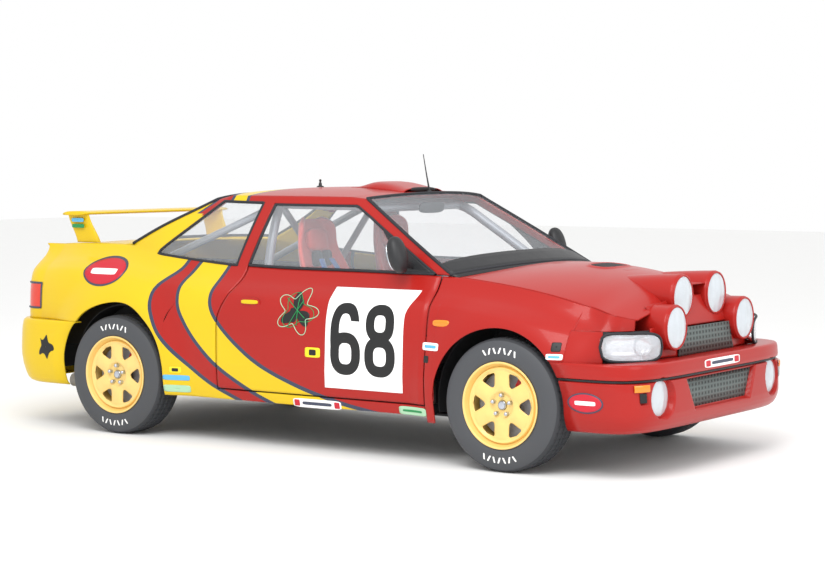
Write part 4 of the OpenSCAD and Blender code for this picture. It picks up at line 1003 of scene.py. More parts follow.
for side, sign in SIDES:
    head_lamp(side, sign)
    tail = corner_grid(np.linspace(0, 1, 33), np.linspace(corner_z[PER] + 1, corner_z[3 * PER] - 1, 25))
    tail = tail + [-1, -0.5, 0]
    lamp = sheet(f"tail_lamp_lens_{side}", mirrored(tail, sign), red_lens, "body", (-1500, 0, 750), wall=24)
    rim = np.concatenate([tail[:-1, 0], tail[-1, :-1], tail[:0:-1, -1], tail[0, :0:-1]])
    seal = tube(f"tail_lamp_seal_{side}", mirrored(rim, sign), 6, decal_slate, "body", around=8,
                closed=True, per=1)
    if sign > 0:
        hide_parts("tail_lamps")
    marker = cushion(f"side_marker_{side}",
                     (965, sign * (float(side_y(np.array(965.0), np.array(713.0))) + 2), 713), (50, 9, 17),
                     3.2, orange_lens, "body")
    turn_lamp = bumper_grid(np.array([(430, -3, -3), (440, -5, -4), (455, -5, -4), (464, -3, -3)], float),
                            3, 500, True)
    pick = (np.abs(turn_lamp[:, 5, 1]) < 806) & (np.abs(turn_lamp[:, 5, 1]) > 722) & (turn_lamp[:, 5,
            1] * sign > 0)
    amber = sheet(f"indicator_{side}", turn_lamp[pick], orange_lens, "body", (1500, 0, 445), wall=6)
    notch = bumper_grid(np.array([(378, -1, 0), (400, -1, 0), (424, -1, 0)], float), 3, 500, True)
    pick = (np.abs(notch[:, 3, 1]) < 776) & (np.abs(notch[:, 3, 1]) > 738) & (notch[:, 3, 1] * sign > 0)
    notch = sheet(f"bumper_duct_{side}", notch[pick], dark_paint, "body", (1500, 0, 400), wall=2)
    u, v = np.linspace(0, 1, 16)[:, None], np.linspace(0, 1, 16)[None]
    filler = join(mix(1992, 1962, u) - 8 * v, sign * mix(304, 520, u), mix(563.0, 712.0, v))
    filler = sheet(f"nose_filler_{side}", filler, enamel_red, "body", (1500, 0, 640), wall=3)
print("lamps made")

# %% [markdown]
# ## Boot lid and wing
# The lid has a flat deck, a rounded edge and an upright rear face down to the bumper. The wing's
# blade is carried across the car on two broad legs.
# %% Boot lid and wing
boot_hinge_x = rear_x - 218
boot_path = np.array([(0, 0, 0), (150, -2, 0), (320, -10, 0), (480, -22, 0.25), (560, -44, 0.6),
                      (592, -90, 0.9), (606, -180, 1), (612, -300, 1), (600, -392, 1)], float)


def boot_grid(k, s):
    """Side profile at place k along its length, its plan bowed by the square of the width share s."""
    k, s = np.asarray(k, float)[:, None], np.asarray(s, float)[None]
    p = [curve(np.stack([np.arange(9), boot_path[:, a]], 1), k) for a in range(3)]
    bow = 60 * s**2 * (0.15 + p[2]) * np.clip(k, 0, 1)
    return join(boot_hinge_x - p[0] + bow, s * boot_half, belt + 116 + p[1] - 18 * s**2 * (1 - p[2]))


lid = sheet("boot_lid_pressing", boot_grid(np.linspace(0, 8, 97), np.linspace(1, -1, 61)), enamel_yellow,
            "boot_lid", (-1500, 0, 700), wall=14)
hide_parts("boot_lid")
plate = boot_grid(np.linspace(6.3, 7.2, 12), np.linspace(0.42, -0.42, 20)) - [3, 0, 0]
plate = sheet("rear_plate_blank", plate, decal_white, "boot_lid", (-1500, 0, 700), wall=3)

wing_x0, wing_top, chord, wing_half = rear_x - 440, 1225.0, 170.0, 645.0
a = round_angles(48)
blade = np.stack([wing_x0 - chord / 2 + (chord / 2 - 1) * squared(np.cos(a), 0.8),
                  wing_top - 13 + 12 * squared(np.sin(a), 0.9) - 6 * np.cos(a) ** 2 * (np.cos(a) < 0)], -1)
across_y = np.concatenate([[-wing_half] , np.linspace(-wing_half + 2, wing_half - 2, 24), [wing_half]])
shrink = np.where(np.abs(across_y) >= wing_half, 0.6, 1.0)
mid = blade.mean(0)
grid = np.stack([np.broadcast_to(mid[0] + (blade[None, :, 0] - mid[0]) * shrink[:, None], (26, 48)),
                 np.broadcast_to(across_y[:, None], (26, 48)),
                 mid[1] + (blade[None, :, 1] - mid[1]) * shrink[:, None]], -1)
grid = np.concatenate([np.repeat([[[mid[0], -wing_half, mid[1]]]], 48, 1), grid,
                       np.repeat([[[mid[0], wing_half, mid[1]]]], 48, 1)])
wing = new_piece("rear_wing_blade", np.swapaxes(grid, 0, 1), faces_of_grid(48, 28, wrap=True),
                 enamel_yellow, "boot_lid")
turn_out(wing)
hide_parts("rear_wing")
for side, sign in SIDES:
    t = np.linspace(0, 1, 30)[None]
    a2 = round_angles(40)[:, None]
    foot_a, foot_b = boot_hinge_x - 165, boot_hinge_x - 330
    fore = mix(wing_x0 - 8, foot_a, smooth(t * 0.9))
    aft = mix(wing_x0 - chord + 4, foot_b, smooth(t * 0.9))
    cx, hx = (fore + aft) / 2, (fore - aft) / 2
    thick = mix(10, 24, t**2)
    leg = join(cx + hx * squared(np.cos(a2), 0.5), sign * (598 - 24 * t) + thick * squared(np.sin(a2), 0.6),
                    mix(wing_top - 12, belt + 108, t))
    leg = np.concatenate([np.repeat(leg[:, :1].mean(0, keepdims=True), 40, 0), leg,
                          np.repeat(leg[:, -1:].mean(0, keepdims=True), 40, 0)], 1)
    leg = new_piece(f"rear_wing_leg_{side}", leg, faces_of_grid(40, leg.shape[1], wrap=True), enamel_yellow,
                    "boot_lid")
    turn_out(leg)

# %% [markdown]
# A low scoop on the roof lets air into the cabin. It is a lip that rises from the roof and stays open
# at its front.
# %% Roof scoop
r, s = np.linspace(0, 1, 30)[:, None], np.linspace(-1, 1, 41)[None]
x = pillar_top_x - 250 + mix(-150, 235, r) + 0 * s
y = s * 190 * (0.75 + 0.25 * smooth(r * 2))
base = roof_height - curve(crown_pins, x) - (46 - curve(crown_pins, x) * 0.45) * (np.abs(y) / 552) ** 2.2
z = base + 1 + 34 * smooth(r * 2.2) * (1 - s**6) * (1 - 0.45 * smooth((r - 0.55) / 0.45))
scoop = sheet("roof_scoop_shell", np.stack([x, y, z], -1), enamel_red, "body", (0, 0, 1200), wall=3)
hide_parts("roof_scoop")
# The dark pad in the scoop's open mouth is painted shade for the inside of the scoop.
mouth = cushion("roof_scoop_mouth_painted_shade", (pillar_top_x - 22, 0, roof_height - 12), (24, 120, 14), 2.6,
                dark_paint, "body", n=24)
print("lid, wing and scoop made")

# %% [markdown]
# ## Wheels
# A racing tyre is a lathe form: a flat tread with grooves, round shoulders and a bulging sidewall
# that ends at the rim. Raised white marks sit on two arcs of the sidewall. A plain block font of
# short bars stands in for lettering.
# %% Tyres
tyre_profile = [(-84, 205), (-92, 212), (-100, 232), (-102, 258), (-100, 282), (-94, 304), (-86, 318),
                (-74, 325.5), (-62, 328),
                (-60, 322), (-54, 322), (-52, 329), (-22, 330), (-20, 323), (-14, 323), (-12, 330),
                (12, 330), (14, 323), (20, 323),
                (22, 330), (52, 329), (54, 322), (60, 322), (62, 328), (74, 325.5), (86, 318), (94, 304),
                (100, 282), (102, 258),
                (100, 232), (92, 212), (84, 205), (60, 200), (-60, 200), (-84, 205)]


def sidewall_marks(angle, radius):
    """Signed distance to seven rounded bars, leaning by turns, on each of a top and a bottom arc."""
    best = np.full(np.broadcast(angle, radius).shape, 50.0)
    for base in (90, 270):
        away = (angle - base + 180) % 360 - 180
        for k in range(-3, 4):
            u = np.radians(away - k * 6.3) * radius
            v = radius - 268
            lean = u - (0.35 if k % 2 else -0.35) * v
            bar = np.hypot(np.maximum(np.abs(lean) - 2.0, 0), np.maximum(np.abs(v) - 12, 0)) - 2.8
            best = np.minimum(best, np.where(np.abs(away) < 40, bar, 50))
    return best


def tyre(name, x, sign, body):
    """The profile turned about the axle by single degrees, with a 5 mm cross cut in the tread every six."""
    q = np.asarray(tyre_profile, float)
    side, radius = steps(q[:, 0], 3), steps(q[:, 1], 3)
    a = np.radians(np.arange(0, 360, 1.0))[:, None]
    grid = join(x + radius[None] * np.cos(a), sign * (wheel_y + side[None]),
                axle_z + radius[None] * np.sin(a))
    blocks = np.abs((np.degrees(a) / 6) % 1 - 0.5) < 0.07
    near_tread = (radius[None] > 326) & blocks
    grid[..., 0] -= np.where(near_tread, 5 * np.cos(a), 0)
    grid[..., 2] -= np.where(near_tread, 5 * np.sin(a), 0)
    piece = new_piece(name, grid, faces_of_grid(360, len(side), wrap=True), tread_rubber, body)
    turn_out(piece)
    return piece


def sidewall(name, x, sign, body):
    """Outer face of the tyre from bead to shoulder, a fine ring up to 1 mm proud that carries the marks."""
    outer = np.array([(84.5, 206), (92.8, 212), (101, 232), (103, 258), (101, 282), (94.8, 304), (87, 318)],
                     float)
    radius = np.linspace(206.5, 316, 48)
    out = curve(outer[:, ::-1], radius)
    angle = np.arange(0, 360, 0.75)
    a = np.radians(angle)[:, None]
    grid = join(x + radius[None] * np.cos(a), sign * (wheel_y + out[None]),
                axle_z + radius[None] * np.sin(a))
    mark = sidewall_marks(angle[:, None] if sign < 0 else (180 - angle[:, None]) % 360, radius[None])
    grid[..., 1] += sign * 0.8 * smooth(0.5 - mark / 2)
    piece = new_piece(name, grid, faces_of_grid(len(angle), len(radius), wrap=True), sidewall_rubber, body,
                      (x, sign * 500, axle_z))
    store(piece, "mark", mark * MM)
    return piece


# %% [markdown]
# The gold wheel is cast. Its face is a dished disc with six triangular windows and five nuts. The
# grid of the face is polar, and its lines are bent so that they run exactly along the windows' edges.
# %% Rims
def rim_face(x, sign):
    """Polar grid. In each sixth, cells past the window's half angle are spoke."""
    inner_r, outer_r = 98.0, 166.0
    radius = np.concatenate([np.linspace(24, inner_r, 14), np.linspace(inner_r, outer_r, 23)[1:],
                             np.linspace(outer_r, 214, 24)[1:]])
    e = np.clip((radius - inner_r) / (outer_r - inner_r), 0, 1)
    window = np.degrees(np.where((e > 0) & (e < 1),
                                 (8 + 38 * e) * (np.maximum(1 - np.abs(2 * e - 1) ** 9, 0)) ** 0.5,
                                 0.2) / np.maximum(radius, 1))
    window = np.maximum(window, 0.4)
    share = np.linspace(0, 1, 13)
    sector = []
    for k in range(6):
        centre = 60 * k
        window_part = centre + window[None] * (2 * share[:-1, None] - 1)
        spoke_part = centre + window[None] + (60 - 2 * window[None]) * share[:-1, None]
        sector += [window_part, spoke_part]
    angle = np.concatenate(sector)
    out = curve([(24, 70), (60, 72), (66, 82), (90, 84), (125, 82), (166, 80), (176, 84), (184, 86),
                 (190, 70), (196, 64), (201, 88), (206, 101), (214, 102)], radius)[None]
    out = out + 6.0 * np.cos(np.radians(6 * (angle + 30))) * smooth((radius[None] - 70)
            / 30) * smooth((178 - radius[None]) / 20)
    a = np.radians(angle)
    grid = np.stack([x + radius * np.cos(a), sign * (wheel_y + out + 0 * a), axle_z + radius * np.sin(a)],
                    -1)
    i = np.arange(len(angle))[:, None]
    j = np.arange(len(radius) - 1)[None]
    is_window = ((i % 24) < 12) & (radius[j] >= inner_r - 1) & (radius[j] < outer_r - 1)
    return grid, ~is_window


for end, x in (("front", front_x), ("rear", rear_x)):
    for side, sign in SIDES:
        body, tag = f"wheel_{end}_{side}", f"{end}_{side}"
        whole = tyre(f"tyre_tread_{tag}", x, sign, body)
        wall_piece = sidewall(f"tyre_sidewall_{tag}", x, sign, body)
        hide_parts(f"tyre_{tag}")
        grid, keep = rim_face(x, sign)
        face = sheet(f"rim_face_{tag}", grid, gold_paint, body, (x, sign * 500, axle_z), keep, wall=9,
                     wrap=True)
        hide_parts(f"rim_{tag}")
        axis = (0, sign, 0)
        hub = (x, sign * wheel_y, axle_z)
        barrel = turned(f"rim_barrel_{tag}",
                        [(101, 214), (96, 204), (84, 200), (60, 182), (-60, 182), (-84, 198), (-96, 214),
                         (-88, 214), (-74, 203), (60, 188), (84, 204), (98, 215), (101, 214)],
                        hub, axis, gold_paint, body, per=3)
        disc = turned(f"brake_disc_{tag}",
                      [(26, 60), (26, 158), (24, 163), (-2, 163), (-4, 158), (-4, 60), (26, 60)], hub, axis,
                      disc_steel, body, per=4)
        bell = turned(f"brake_bell_{tag}",
                      [(-44, 66), (-18, 66), (20, 62), (52, 58), (60, 56), (62, 21), (-44, 21), (-44, 66)],
                      hub, axis, dark_paint, body, per=3)
        cap = turned(f"hub_cap_{tag}", [(60, 24), (78, 22), (82, 18), (83, 0.1)], hub, axis, nut_steel,
                     body, around=36, per=3)
        for k in range(5):
            a = math.radians(90 + 72 * k)
            nut = turned(f"wheel_nut_{tag}_{k}", [(66, 11.5), (90, 11.0), (96, 8.0), (97, 0.1)],
                         (x + 50 * math.cos(a), sign * wheel_y, axle_z + 50 * math.sin(a)), axis, nut_steel,
                         body, around=6)
        carrier = f"knuckle_{side}" if end == "front" else "body"
        a = np.radians(np.linspace(18, 62, 16))[:, None]
        b = round_angles(28)[None]
        mid_r = 132 + 34 * squared(np.cos(b), 0.5)
        mid_y = 11 + 29 * squared(np.sin(b), 0.5)
        body_grid = join(x + mid_r * np.cos(a), sign * (wheel_y + mid_y), axle_z + mid_r * np.sin(a))
        ends = body_grid.mean(1, keepdims=True)
        body_grid = np.concatenate([np.repeat(ends[:1], 28, 1), body_grid, np.repeat(ends[-1:], 28, 1)])
        caliper = new_piece(f"brake_caliper_{tag}", np.swapaxes(body_grid, 0, 1),
                            faces_of_grid(28, 18, wrap=True), caliper_red, carrier)
        turn_out(caliper)
        soften(caliper, 3)
print("wheels made")

# %% [markdown]
# ## Cabin
# A rally car's cabin is bare: a cage of welded tube, two bucket seats with harness slots, a plain
# dashboard and a steering wheel. The seat shell is a curved sheet bent up at its edges, with padded
# cushions on it.
# %% Seats
def seat_shell(y0):
    """Side profile carried across, its width changing along it, the edges bent up by the fifth power."""
    path = np.array([(560, 345), (420, 362), (280, 356), (180, 400), (125, 520), (85, 700), (50, 880),
                     (20, 1040), (0, 1150), (-12, 1196)], float)
    width = np.array([205, 210, 212, 218, 222, 224, 214, 178, 150, 84], float)
    rim = np.array([70, 95, 110, 110, 105, 120, 80, 40, 55, 30], float)
    k = np.linspace(0, 9, 73)
    at = lambda v: curve(np.stack([np.arange(10), v], 1), k)
    px, pz, w, rise = at(path[:, 0]), at(path[:, 1]), at(width), at(rim)
    tx, tz = np.gradient(px), np.gradient(pz)
    size = np.hypot(tx, tz)
    u = np.linspace(-1, 1, 41)[None]
    up = rise[:, None] * np.abs(u) ** 5
    return join(front_x - 1550 + px[:, None] + up * (tz / size)[:, None],
                y0 + u * w[:, None] * (1 - 0.06 * u**4), pz[:, None] - up * (tx / size)[:, None])


for side, sign in SIDES:
    y0 = sign * seat_y
    shell = sheet(f"seat_shell_{side}", seat_shell(y0), seat_cloth, "body", (-600, y0, 300), wall=0)
    thicken(shell, 22, 0.0)
    if sign > 0:
        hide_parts("seats")
    seat_x = front_x - 1550
    for name, at, half, turn in (("base", (seat_x + 360, y0, 398), (165, 150, 34), -4),
                                 ("back", (seat_x + 118, y0, 700), (34, 140, 185), -10),
                                 ("head", (seat_x + 40, y0, 1085), (24, 84, 62), -8)):
        pad = cushion(f"seat_{name}_pad_{side}", at, half, 3.4, seat_cloth, "body", turn, 44)
    for k in (-1, 1):
        # Each harness slot is drawn as a black pad: painted shade in the hole through the seat.
        slot_painted_shade = cushion(f"harness_slot_{side}_{'inner' if k < 0 else 'outer'}",
                            (seat_x + 76, y0 + 44 * k, 985), (30, 17, 44), 4.0, decal_black, "body", -8, 16)
        strap = np.array([(seat_x + 108, y0 + 44 * k, 985), (seat_x + 150, y0 + 62 * k, 900),
                          (seat_x + 175, y0 + 66 * k, 720), (seat_x + 215, y0 + 48 * k, 520),
                          (seat_x + 290, y0 + 20 * k, 436)], float)
        kk = np.linspace(0, 4, 40)
        line = np.stack([curve(np.stack([np.arange(5), strap[:, a]], 1), kk) for a in range(3)], -1)
        w = np.linspace(-22, 22, 5)[None, :, None] * np.array([0, 1.0, 0])
        belt_piece = sheet(f"harness_strap_{side}_{'inner' if k < 0 else 'outer'}", line[:, None] + w,
                           strap_webbing, "body", (-600, y0, 700), wall=3)
print("seats made")

# %% [markdown]
# The cage's tubes are drawn, bent and welded steel. Each is a circle carried along a smooth line.
# %% Roll cage, dashboard and wheel
hoop_x = front_x - 1685
for side, sign in SIDES:
    f = lambda *p: [(q[0], q[1] * sign, q[2]) for q in p]
    runs = {"hoop_leg": f((hoop_x, 560, 240), (hoop_x, 560, 560), (hoop_x, 560, 860), (hoop_x, 535, 1030),
                          (hoop_x, 490, 1180), (hoop_x, 445, 1279)),
            "front_leg": f((hoop_x, 445, 1280), (-60, 444, 1276), (225, 441, 1264), (420, 472, 1150),
                           (640, 506, 1000), (812, 534, 888), (825, 536, 840), (825, 536, 500),
                           (825, 536, 240)),
            "rear_stay": f((hoop_x, 445, 1280), (-700, 490, 1135), (-1000, 533, 1007),
                           (rear_x - 90, 575, 885)),
            "hoop_cross": f((hoop_x, -445, 1278), (hoop_x, 0, 861), (hoop_x, 545, 430))}
    for run, path in runs.items():
        piece = tube(f"cage_{run}_{side}", path,
                     {"hoop_cross": 19, "hoop_leg": 24, "front_leg": 25}.get(run, 20.5), cage_paint, "body",
                     around=20, per=5)
        if run == "front_leg" and sign > 0:
            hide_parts("roll_cage")
for name, x0, y0, z0 in (("hoop_top", hoop_x, 447, 1280), ("screen_top", 232, 441, 1263),
                         ("dash_bar", 822, 530, 905)):
    piece = tube(f"cage_{name}", [(x0, -y0, z0), (x0, 0, z0), (x0, y0, z0)], 20.5, cage_paint, "body",
                 around=20)

section = np.array([(978, 880), (978, 645), (850, 645), (700, 745), (682, 800), (684, 850), (700, 872),
                    (830, 884)], float)
section = np.stack([steps(np.append(section[:, 0], section[0, 0]), 4),
                    steps(np.append(section[:, 1], section[0, 1]), 4)], -1)
wide = np.array([-502, -500, -490, 490, 500, 502.0])
grid = join(section[:, 0][:, None], wide[None], section[:, 1][:, None])
mid = section.mean(0)
grid[:, [0, -1], 0] = mid[0]
grid[:, [0, -1], 2] = mid[1]
dash = new_piece("dashboard_moulding", grid, faces_of_grid(len(section), 6), gauge_face, "body")
turn_out(dash)
soften(dash, 8, 3)
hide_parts("dashboard")
binnacle = cushion("instrument_binnacle", (722, seat_y, 905), (75, 165, 40), 3.0, gauge_face, "body", n=24)
tilt = math.radians(66)
axis = np.array([-math.sin(tilt), 0, math.cos(tilt)])
hub = np.array([510.0, seat_y, 850])
across_dir, up_dir = np.array([0, 1.0, 0]), np.cross(axis, [0, 1.0, 0])
a = np.linspace(0, 2 * np.pi, 60, endpoint=False)
ring = hub + 156 * (np.cos(a)[:, None] * across_dir + np.sin(a)[:, None] * up_dir)
wheel = tube("steering_wheel_rim", ring, 13.5, black_plastic, "steering_wheel", around=16, closed=True,
             per=1)
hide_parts("steering_wheel")
for k in range(3):
    a = math.radians(90 + 120 * k)
    out = math.cos(a) * across_dir + math.sin(a) * up_dir
    spoke = tube(f"steering_spoke_{k}",
                 [hub + 20 * out + 5 * axis, hub + 90 * out + 4 * axis, hub + 150 * out + 2 * axis], 8,
                 nut_steel, "steering_wheel", around=12)
boss = turned("steering_boss", [(-183, 0.1), (-183, 20), (-6, 20), (-4, 44), (8, 46), (14, 40), (15, 0.1)],
              hub, axis, black_plastic, "steering_wheel", around=48, per=2)
inside_mirror = cushion("inside_mirror", (335, 0, 1262), (12, 118, 31), 3.5, black_plastic, "body", 12, 28)
print("cage and controls made")

# %% [markdown]
# ## Small outside parts
# Door mirrors are moulded pods on a short foot; handles sit in a dished plate; aerials are a steel
# whip and a rubber stub.
# %% Mirrors, handles, aerials
for side, sign in SIDES:
    body = f"door_{side}"
    glass_y = float(side_grid([1.0], [6.6])[0, 0, 1])
    pod = cushion(f"door_mirror_{side}", (662, sign * 792, 1042), (42, 58, 96), 2.3, black_plastic, body,
                  -16, 36)
    foot = tube(f"mirror_foot_{side}",
                [(690, sign * (glass_y - 2), 972), (680, sign * (glass_y + 20), 985),
                 (668, sign * 780, 1000)], 17, black_plastic, body, around=16)
    mirror_face = cushion(f"mirror_glass_{side}", (629, sign * 792, 1032), (9, 44, 70), 2.6, mirror_glass,
                          body, -16, 24)
    share, height = np.linspace(0, 1, 10), np.linspace(0, 1, 14)
    corner = np.concatenate([side_grid(1.1 + 0.85 * share * (1 - v) ** 0.8,
                                       [6.05 + 1.7 * v]) for v in height], 1) + [-3, 1, 0]
    sail = sheet(f"mirror_sail_{side}", mirrored(corner, sign), black_plastic, body, (sail_x, 0, 1000),
                 wall=7)
    hy = lambda x, z: float(side_y(np.array(float(x)), np.array(float(z))))
    dish = cushion(f"handle_dish_{side}", (handle_x, sign * (hy(handle_x, 757) - 1), 757), (66, 5, 34), 3.5,
                   enamel_red, body, n=24)
    # The grip's shape is the handle's top; its yellow is a painted highlight along the top of the red handle.
    grip_painted_highlight = cushion(f"door_handle_painted_highlight_{side}", (handle_x, sign * (hy(handle_x, 768) + 8), 770), (56, 7, 11), 3.6,
                   enamel_yellow, body, n=24)

whip_x = rear_x + 770
top_at = lambda v: roof_height - float(curve(crown_pins, v))
base = turned("whip_aerial_base", [(1, 22), (6, 20), (10, 10), (26, 8), (30, 3), (34, 7), (42, 7), (46, 2)],
              (whip_x, 0, top_at(whip_x)), (0, 0, 1), black_plastic, "body", around=36, per=2)
whip = turned("whip_aerial_rod", [(8, 1.8), (560, 1.4), (672, 1.0), (674, 1.8), (676, 0.1)],
              (whip_x, 0, top_at(whip_x)), (0, 0, 1), decal_white, "body", around=12)
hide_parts("aerials")
stub_x = pillar_top_x + 24
top = np.array([stub_x, 0, top_at(stub_x)])
stub = tube("stub_aerial", [top + (0, 0, 4), top + (-6, 0, 40), top + (-20, 0, 105), top + (-40, 0, 208)],
            np.linspace(6, 2.2, 19), black_plastic, "body", around=12)
foot = turned("stub_aerial_foot", [(1, 15), (8, 13), (14, 6), (15, 0.1)], top, (0, 0, 1), black_plastic,
              "body", around=24, per=2)
print("outside parts made")

# %% [markdown]
# ## Printed marks
# Race cars wear thin vinyl prints. Each one is a small grid laid on the side's own surface, one to
# four millimetres out, so that it bends with the panel and overlays don't meet. Where a print has
# two colours, the distance to the ink is stored on the points and the material switches on its sign.
# Lettering is left out.
# %% Number panels
def on_side(x, z, sign, out):
    """A point of the side surface at a length and a height, moved outwards."""
    return join(x, sign * (side_y(x, z) + out), z)


def ring_distance(u, v, centre, half, stroke):
    """Distance to a rounded ring: the superellipse size less one, over its slope, less half the stroke."""
    power = 2.5
    a, b = np.abs(u - centre[0]) / half[0] + 1e-6, np.abs(v - centre[1]) / half[1] + 1e-6
    size = (a**power + b**power) ** (1 / power)
    slope = size ** (1 - power) * np.hypot(a ** (power - 1) / half[0], b ** (power - 1) / half[1])
    return np.abs(size - 1) / slope - stroke / 2


def eight(u, v):
    """Two rings, the lower one a little larger."""
    return np.minimum(ring_distance(u, v, (0, 86), (61, 70), 54),
                      ring_distance(u, v, (0, -82), (67, 76), 56))


def six(u, v):
    """A ring below, with the left side and the top of a tall ring above it, ending on the right."""
    tall = ring_distance(u, v, (0, -1), (67, 158), 55)
    stem = np.maximum(np.maximum(tall, np.minimum(u, 92 - v)), -70 - v)
    return np.minimum(ring_distance(u, v, (0, -76), (67, 82), 56), stem)


number_x, number_z, digit_shift = 482, 606, 108
for side, sign in SIDES:
    v = np.linspace(0, 1, 124)[:, None]
    u = np.linspace(0, 1, 124)[None]
    z = 348 + 517 * v
    x = mix(240 + 14 * v, 728 + 10 * v + 46 * smooth((v - 0.74) / 0.26), u)
    grid = on_side(x, z + 0 * x, sign, 1.6)
    panel = sheet(f"number_panel_{side}", grid, number_vinyl, f"door_{side}", (400, 0, 600), wall=1.2)
    across_x = (x - number_x) * -sign
    ink = np.minimum(six(across_x + digit_shift, z - number_z), eight(across_x - digit_shift, z - number_z))
    store(panel, "ink", ink * MM)


# %% Small marks
def label(name, side, sign, x_span, z_span, material, body, out=1.6):
    """A rectangle with round corners: a polar grid whose rim is a superellipse, laid on the side surface."""
    a = round_angles(48)[:, None]
    r = np.linspace(0.02, 1, 6)[None]
    c, s = squared(np.cos(a), LABEL_POWER), squared(np.sin(a), LABEL_POWER)
    x = np.mean(x_span) + r * c * (x_span[1] - x_span[0]) / 2
    z = np.mean(z_span) + r * s * (z_span[1] - z_span[0]) / 2
    piece = sheet(f"{name}_{side}", on_side(x, z, sign, out), material, body,
                  (np.mean(x_span), 0, np.mean(z_span)), wall=1.0, wrap=True)
    return piece


emblem_x, rear_oval_x, rear_oval_z, front_oval_x, front_oval_z = 55, -1335, 898, 1795, 372
marks = [("door_square_mark", (115, 213), (499, 551), decal_yellow, "door", 1.6),
         ("door_square_ink", (142, 186), (510, 540), decal_black, "door", 2.6),
         ("wing_label", (857, 965), (576, 615), decal_white, "body", 1.6),
         ("wing_label_ink", (872, 950), (588, 603), decal_blue, "body", 2.6),
         ("wing_small_mark", (871, 903), (514, 549), decal_black, "body", 1.6),
         ("front_wing_mark", (1606, 1652), (608, 652), decal_black, "body", 1.6),
         ("front_wing_label", (1584, 1666), (569, 597), decal_white, "body", 1.6),
         ("front_wing_label_ink", (1597, 1653), (577, 589), decal_blue, "body", 2.6),
         ("sill_label", (22, 334), (232, 279), decal_white, "body", 1.6),
         ("sill_label_ink", (84, 272), (247, 264), decal_slate, "body", 2.6),
         ("sill_label_rear_end", (32, 66), (239, 272), decal_red, "body", 2.6),
         ("sill_label_front_end", (290, 324), (239, 272), decal_red, "body", 2.6),
         ("green_sill_label", (698, 881), (240, 283), decal_green, "body", 1.6),
         ("green_sill_label_ink", (722, 850), (256, 267), decal_dark_green, "body", 2.6),
         ("rear_sill_square", (-797, -726), (365, 399), decal_yellow, "body", 1.6),
         ("rear_sill_square_ink", (-780, -743), (373, 391), decal_black, "body", 2.6),
         ("rear_sill_blue_bar", (-841, -677), (325, 353), decal_blue, "body", 1.6),
         ("rear_sill_green_bar", (-842, -677), (259, 298), decal_green, "body", 1.6)]
for side, sign in SIDES:
    for name, x_span, z_span, material, rides, out in marks:
        label(name, side, sign, x_span, z_span, material, f"door_{side}" if rides == "door" else "body",
              out)
    for name, half, material, out in (("rim", (154, 82), decal_slate, 1.6),
                                      ("field", (143, 71), decal_red, 2.6)):
        a = round_angles(72)[:, None]
        r = np.linspace(0.02, 1, 8)[None]
        oval_grid = on_side(rear_oval_x + r * half[0] * np.cos(a), rear_oval_z + r * half[1] * np.sin(a),
                            sign, out)
        piece = sheet(f"rear_oval_{name}_{side}", oval_grid, material, "body",
                      (rear_oval_x, 0, rear_oval_z), wall=1.0, wrap=True)
    label("rear_oval_bar", side, sign, (-1430, -1240), (882, 914), decal_white, "body", 3.6)
    a = np.radians(np.linspace(0, 360, 181)[:-1])
    for k, (petals, size, wide) in enumerate(((5, 120, 2.2), (3, 96, 1.9))):
        r = size * (0.80 + 0.24 * np.cos(petals * a + 0.6 * k))
        path = on_side(emblem_x + r * np.cos(a) * 1.15, 732 + r * np.sin(a), sign, 1.0)
        ring = tube(f"door_emblem_loop_{k}_{side}", path, wide, decal_dark_green if k else decal_green,
                    f"door_{side}", around=6, closed=True, per=1)
    a = round_angles(120)[:, None]
    r = np.linspace(0.02, 1, 8)[None] * (66 + 34 * np.cos(3 * a + 1.57) + 12 * np.cos(7 * a))
    emblem = sheet(f"door_emblem_{side}", on_side(emblem_x + r * np.cos(a), 728 + r * np.sin(a), sign, 1.4),
                   decal_black, f"door_{side}", (emblem_x, 0, 728), wall=1.0, wrap=True)
    for x0, z0, x1, z1 in ((-20, 800, 110, 700), (0, 650, 90, 790), (60, 810, 60, 660)):
        k = np.linspace(0, 1, 9)
        bar = tube(f"door_emblem_bar_{abs(x0)}_{z0}_{side}",
                   on_side(mix(x0, x1, k), mix(z0, z1, k), sign, 2.6), 2.4, decal_dark_green,
                   f"door_{side}", around=6, per=1)


# %% Marks on the bumpers and the wing legs
def on_bumper(x, z, sign, front, out):
    """A point of a bumper's side: the width of the rounded corner at that length, and a little more."""
    rows = front_rows if front else rear_rows
    back, inside = np.interp(z, rows[:-1, 0], rows[:-1, 1]), np.interp(z, rows[:-1, 0], rows[:-1, 2])
    ax, az = arches[0] if front else arches[1]
    reach = np.where(z < az, arch_r, np.sqrt(np.maximum(arch_r**2 - (z - az) ** 2, 0))) + 2
    if front:
        start, power = ax + reach, FRONT_POWER
        c, width = (x - start) / (nose_x - back - start), side_y(start, np.minimum(z, 540)) - inside
    else:
        start, power = ax - reach, REAR_POWER
        c, width = (start - x) / (start - tail_x - back), side_y(start, z) + 4 - inside
    share = (1 - np.clip(c, 0, 0.999) ** power) ** (1 / power)
    return join(x, sign * (width * share + out), z)


